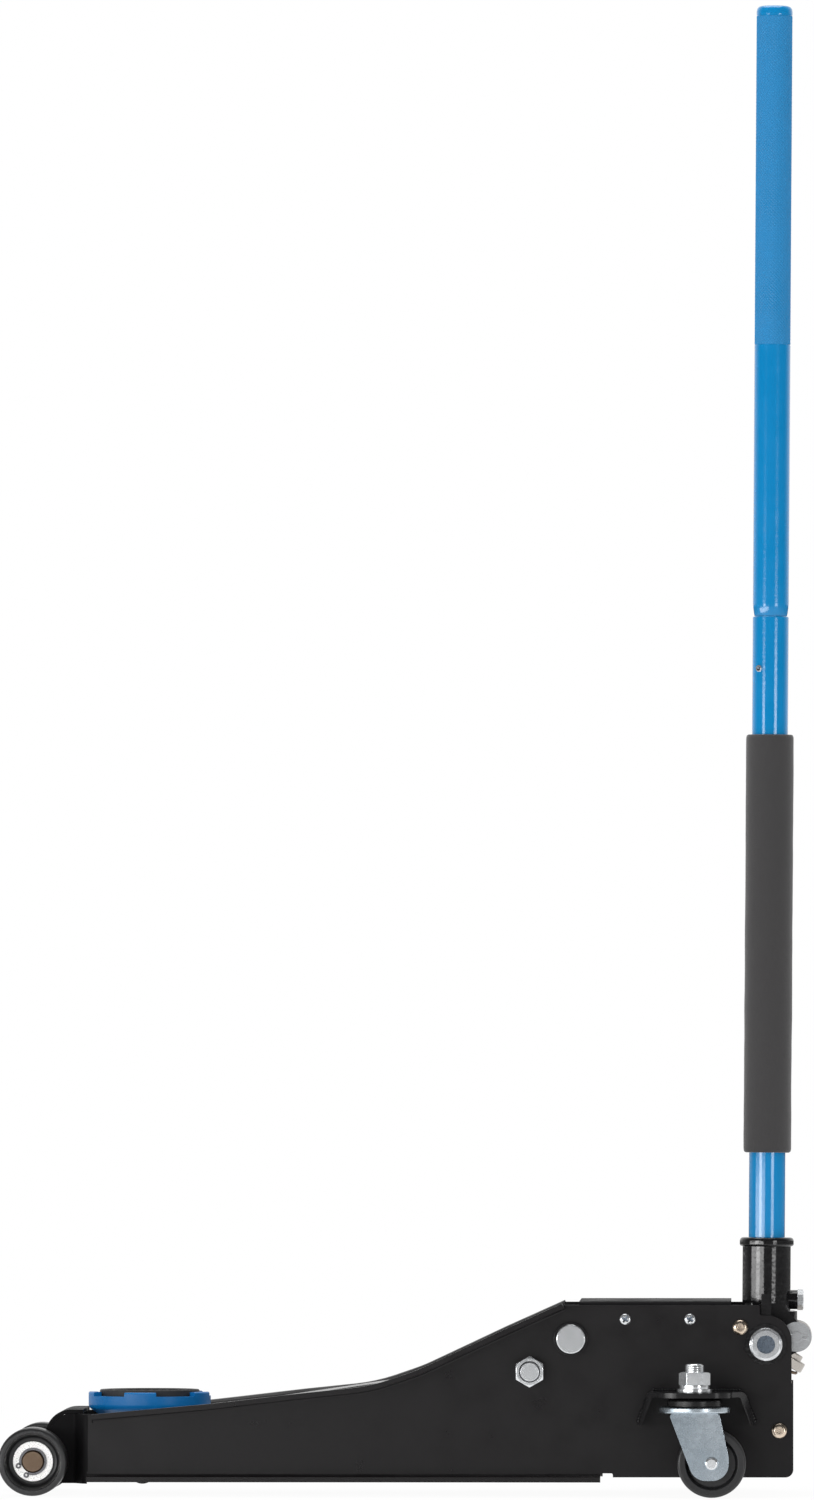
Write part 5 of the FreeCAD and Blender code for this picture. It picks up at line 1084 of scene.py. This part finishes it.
pattern = grip_stud()
studs = []
for row, (radius, count) in enumerate(STUD_ROWS):
    for step in range(count):
        angle = math.tau * (step + 0.5 * (row % 2)) / count
        stud = pattern.copy()
        stud.data = pattern.data.copy()
        bpy.context.scene.collection.objects.link(stud)
        place = Vector((radius * math.cos(angle), radius * math.sin(angle), STUD_LEVEL)) * MM
        stud.matrix_world = Matrix.Translation(PAD_FOOT + place) @ Matrix.Rotation(angle, 4, "Z")
        studs.append(stud)
bpy.data.objects.remove(pattern)
saddle_pad = joined("saddle.pad", [saddle_disc] + studs)
settle(saddle_pad)
finish(saddle_pad, PAD_RUBBER, body_with("saddle_pad"), replaces=["saddle_pad"])
print("saddle.pad", len(saddle_pad.data.polygons), "faces,", len(studs), "studs")

# %% [markdown]
# ## Circlips on the front axle
# A sprung ring of dark steel sits in a groove at each end of the axle, with two eyes for the
# pliers. The ring is spun most of the way round, and each eye is a small turned washer.

# %% Ring and eyes
axle = centre_of("front_axle")
clip_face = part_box("front_axle_circlips")[1].y
RING_IN = 9.7
RING_OUT = 12.1
RING_T = 1.4
EYE_AT = 13.3
EYE_IN = 1.0
EYE_OUT = 2.5
EYES = (197, 244)
RING_TURN = math.radians(360 - EYES[1] + EYES[0])


def circlip(side, sign):
    """A ring that is open between its eyes, whose angles count from the rear upward."""
    clear_selection()
    bpy.ops.mesh.primitive_plane_add(size=1, location=(0, 0, 0))
    ring = bpy.context.object
    ring.scale = ((RING_OUT - RING_IN) * MM, RING_T * MM, 1)
    ring.location = (0.5 * (RING_IN + RING_OUT) * MM, 0, 0)
    settle(ring)
    bpy.ops.object.mode_set(mode="EDIT")
    bpy.ops.mesh.select_all(action="SELECT")
    bpy.ops.mesh.spin(steps=72, angle=RING_TURN, center=(0, 0, 0), axis=(0, 1, 0))
    close_up()
    bpy.ops.object.mode_set(mode="OBJECT")
    ring.matrix_world = Matrix.Rotation(math.radians(-EYES[1]), 4, "Y")
    settle(ring)
    half = 0.5 * RING_T
    eye_section = [(EYE_IN, -half), (EYE_OUT, -half), (EYE_OUT, half), (EYE_IN, half),
                   (EYE_IN, -half)]
    eyes = []
    for angle in (math.radians(eye) for eye in EYES):
        place = Vector((math.cos(angle), 0, math.sin(angle))) * EYE_AT * MM
        eyes.append(lathe("eye", eye_section, place, axis=(0, 1, 0), steps=20))
    clip = joined("circlip_" + side, [ring] + eyes)
    clip.location = (axle.x, sign * (clip_face - half * MM), axle.z)
    settle(clip)
    smooth(clip, 40)
    finish(clip, SPRING_WIRE_AND_PAINTED_SHADE, body_with("front_axle_circlips"),
           replaces=["front_axle_circlips"])
    print(clip.name, [round(v, 4) for v in clip.bound_box[0]], "to",
          [round(v, 4) for v in clip.bound_box[6]])


for side, sign in SIDES:
    circlip(side, sign)

# %% [markdown]
# ## Weld beads
# The caster brackets are welded to the plates, and a hand weld is a row of overlapping ripples. One
# ripple of a few dozen faces is modelled, and copies of it follow each seam. Their sizes vary a
# little, because a real bead is never even, and a seed makes them vary alike on each run.

# %% A ripple, and a bead of ripples
chance = random.Random(7)
BEAD_SIZE = 3.4
BEAD_PITCH = 2.6
RIPPLE_SHAPE = (0.55, 1.0, 0.9)


def ripple():
    """One drop of weld, thin along the seam."""
    clear_selection()
    bpy.ops.mesh.primitive_uv_sphere_add(segments=10, ring_count=6, radius=1.0)
    obj = bpy.context.object
    bpy.ops.object.mode_set(mode="EDIT")
    bpy.ops.mesh.select_all(action="SELECT")
    bpy.ops.transform.resize(value=RIPPLE_SHAPE)
    bpy.ops.object.mode_set(mode="OBJECT")
    return obj


def bead(name, start, end, body):
    """Ripples that follow a straight seam from start to end (metres)."""
    pattern = ripple()
    along = (end - start).normalized()
    turn = Vector((1, 0, 0)).rotation_difference(along).to_matrix().to_4x4()
    count = round((end - start).length / MM / BEAD_PITCH)
    ripples = []
    for step in range(count + 1):
        copy = pattern.copy()
        copy.data = pattern.data.copy()
        bpy.context.scene.collection.objects.link(copy)
        swell = BEAD_SIZE * MM * chance.uniform(0.86, 1.12)
        copy.matrix_world = (Matrix.Translation(start.lerp(end, step / count)) @ turn
                             @ Matrix.Diagonal((swell, swell, swell, 1)))
        ripples.append(copy)
    bpy.data.objects.remove(pattern)
    line = joined(name, ripples)
    settle(line)
    smooth(line, 70)
    finish(line, SOCKET_BLACK, body)
    print(name, len(line.data.polygons), "faces")


# %% [markdown]
# Each bracket has three seams against its plate: a level one along the top, and one down each
# sloping side. They are given as distances along and up the plate, and used on both sides.

# %% Weld the caster brackets to the plates
TOP_INSET = 0.014
FOOT_INSET = 0.0015
SHOULDER_INSET = 0.0102
bracket_low, bracket_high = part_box("caster_bracket_right")
plate_y = bracket_low.y + 0.0012
foot_z = bracket_low.z + 0.003
top_z = bracket_high.z - 0.0003
shoulder_z = top_z - 0.004
SEAMS = (
    ((bracket_low.x + TOP_INSET, top_z), (bracket_high.x - TOP_INSET, top_z)),
    ((bracket_low.x + FOOT_INSET, foot_z), (bracket_low.x + SHOULDER_INSET, shoulder_z)),
    ((bracket_high.x - FOOT_INSET, foot_z), (bracket_high.x - SHOULDER_INSET, shoulder_z)),
)
for side, sign in SIDES:
    for number, ((x1, z1), (x2, z2)) in enumerate(SEAMS):
        bead("weld_%s_%d" % (side, number + 1), Vector((x1, sign * plate_y, z1)),
             Vector((x2, sign * plate_y, z2)), body_with("caster_bracket_right"))

# %% Finish
import json
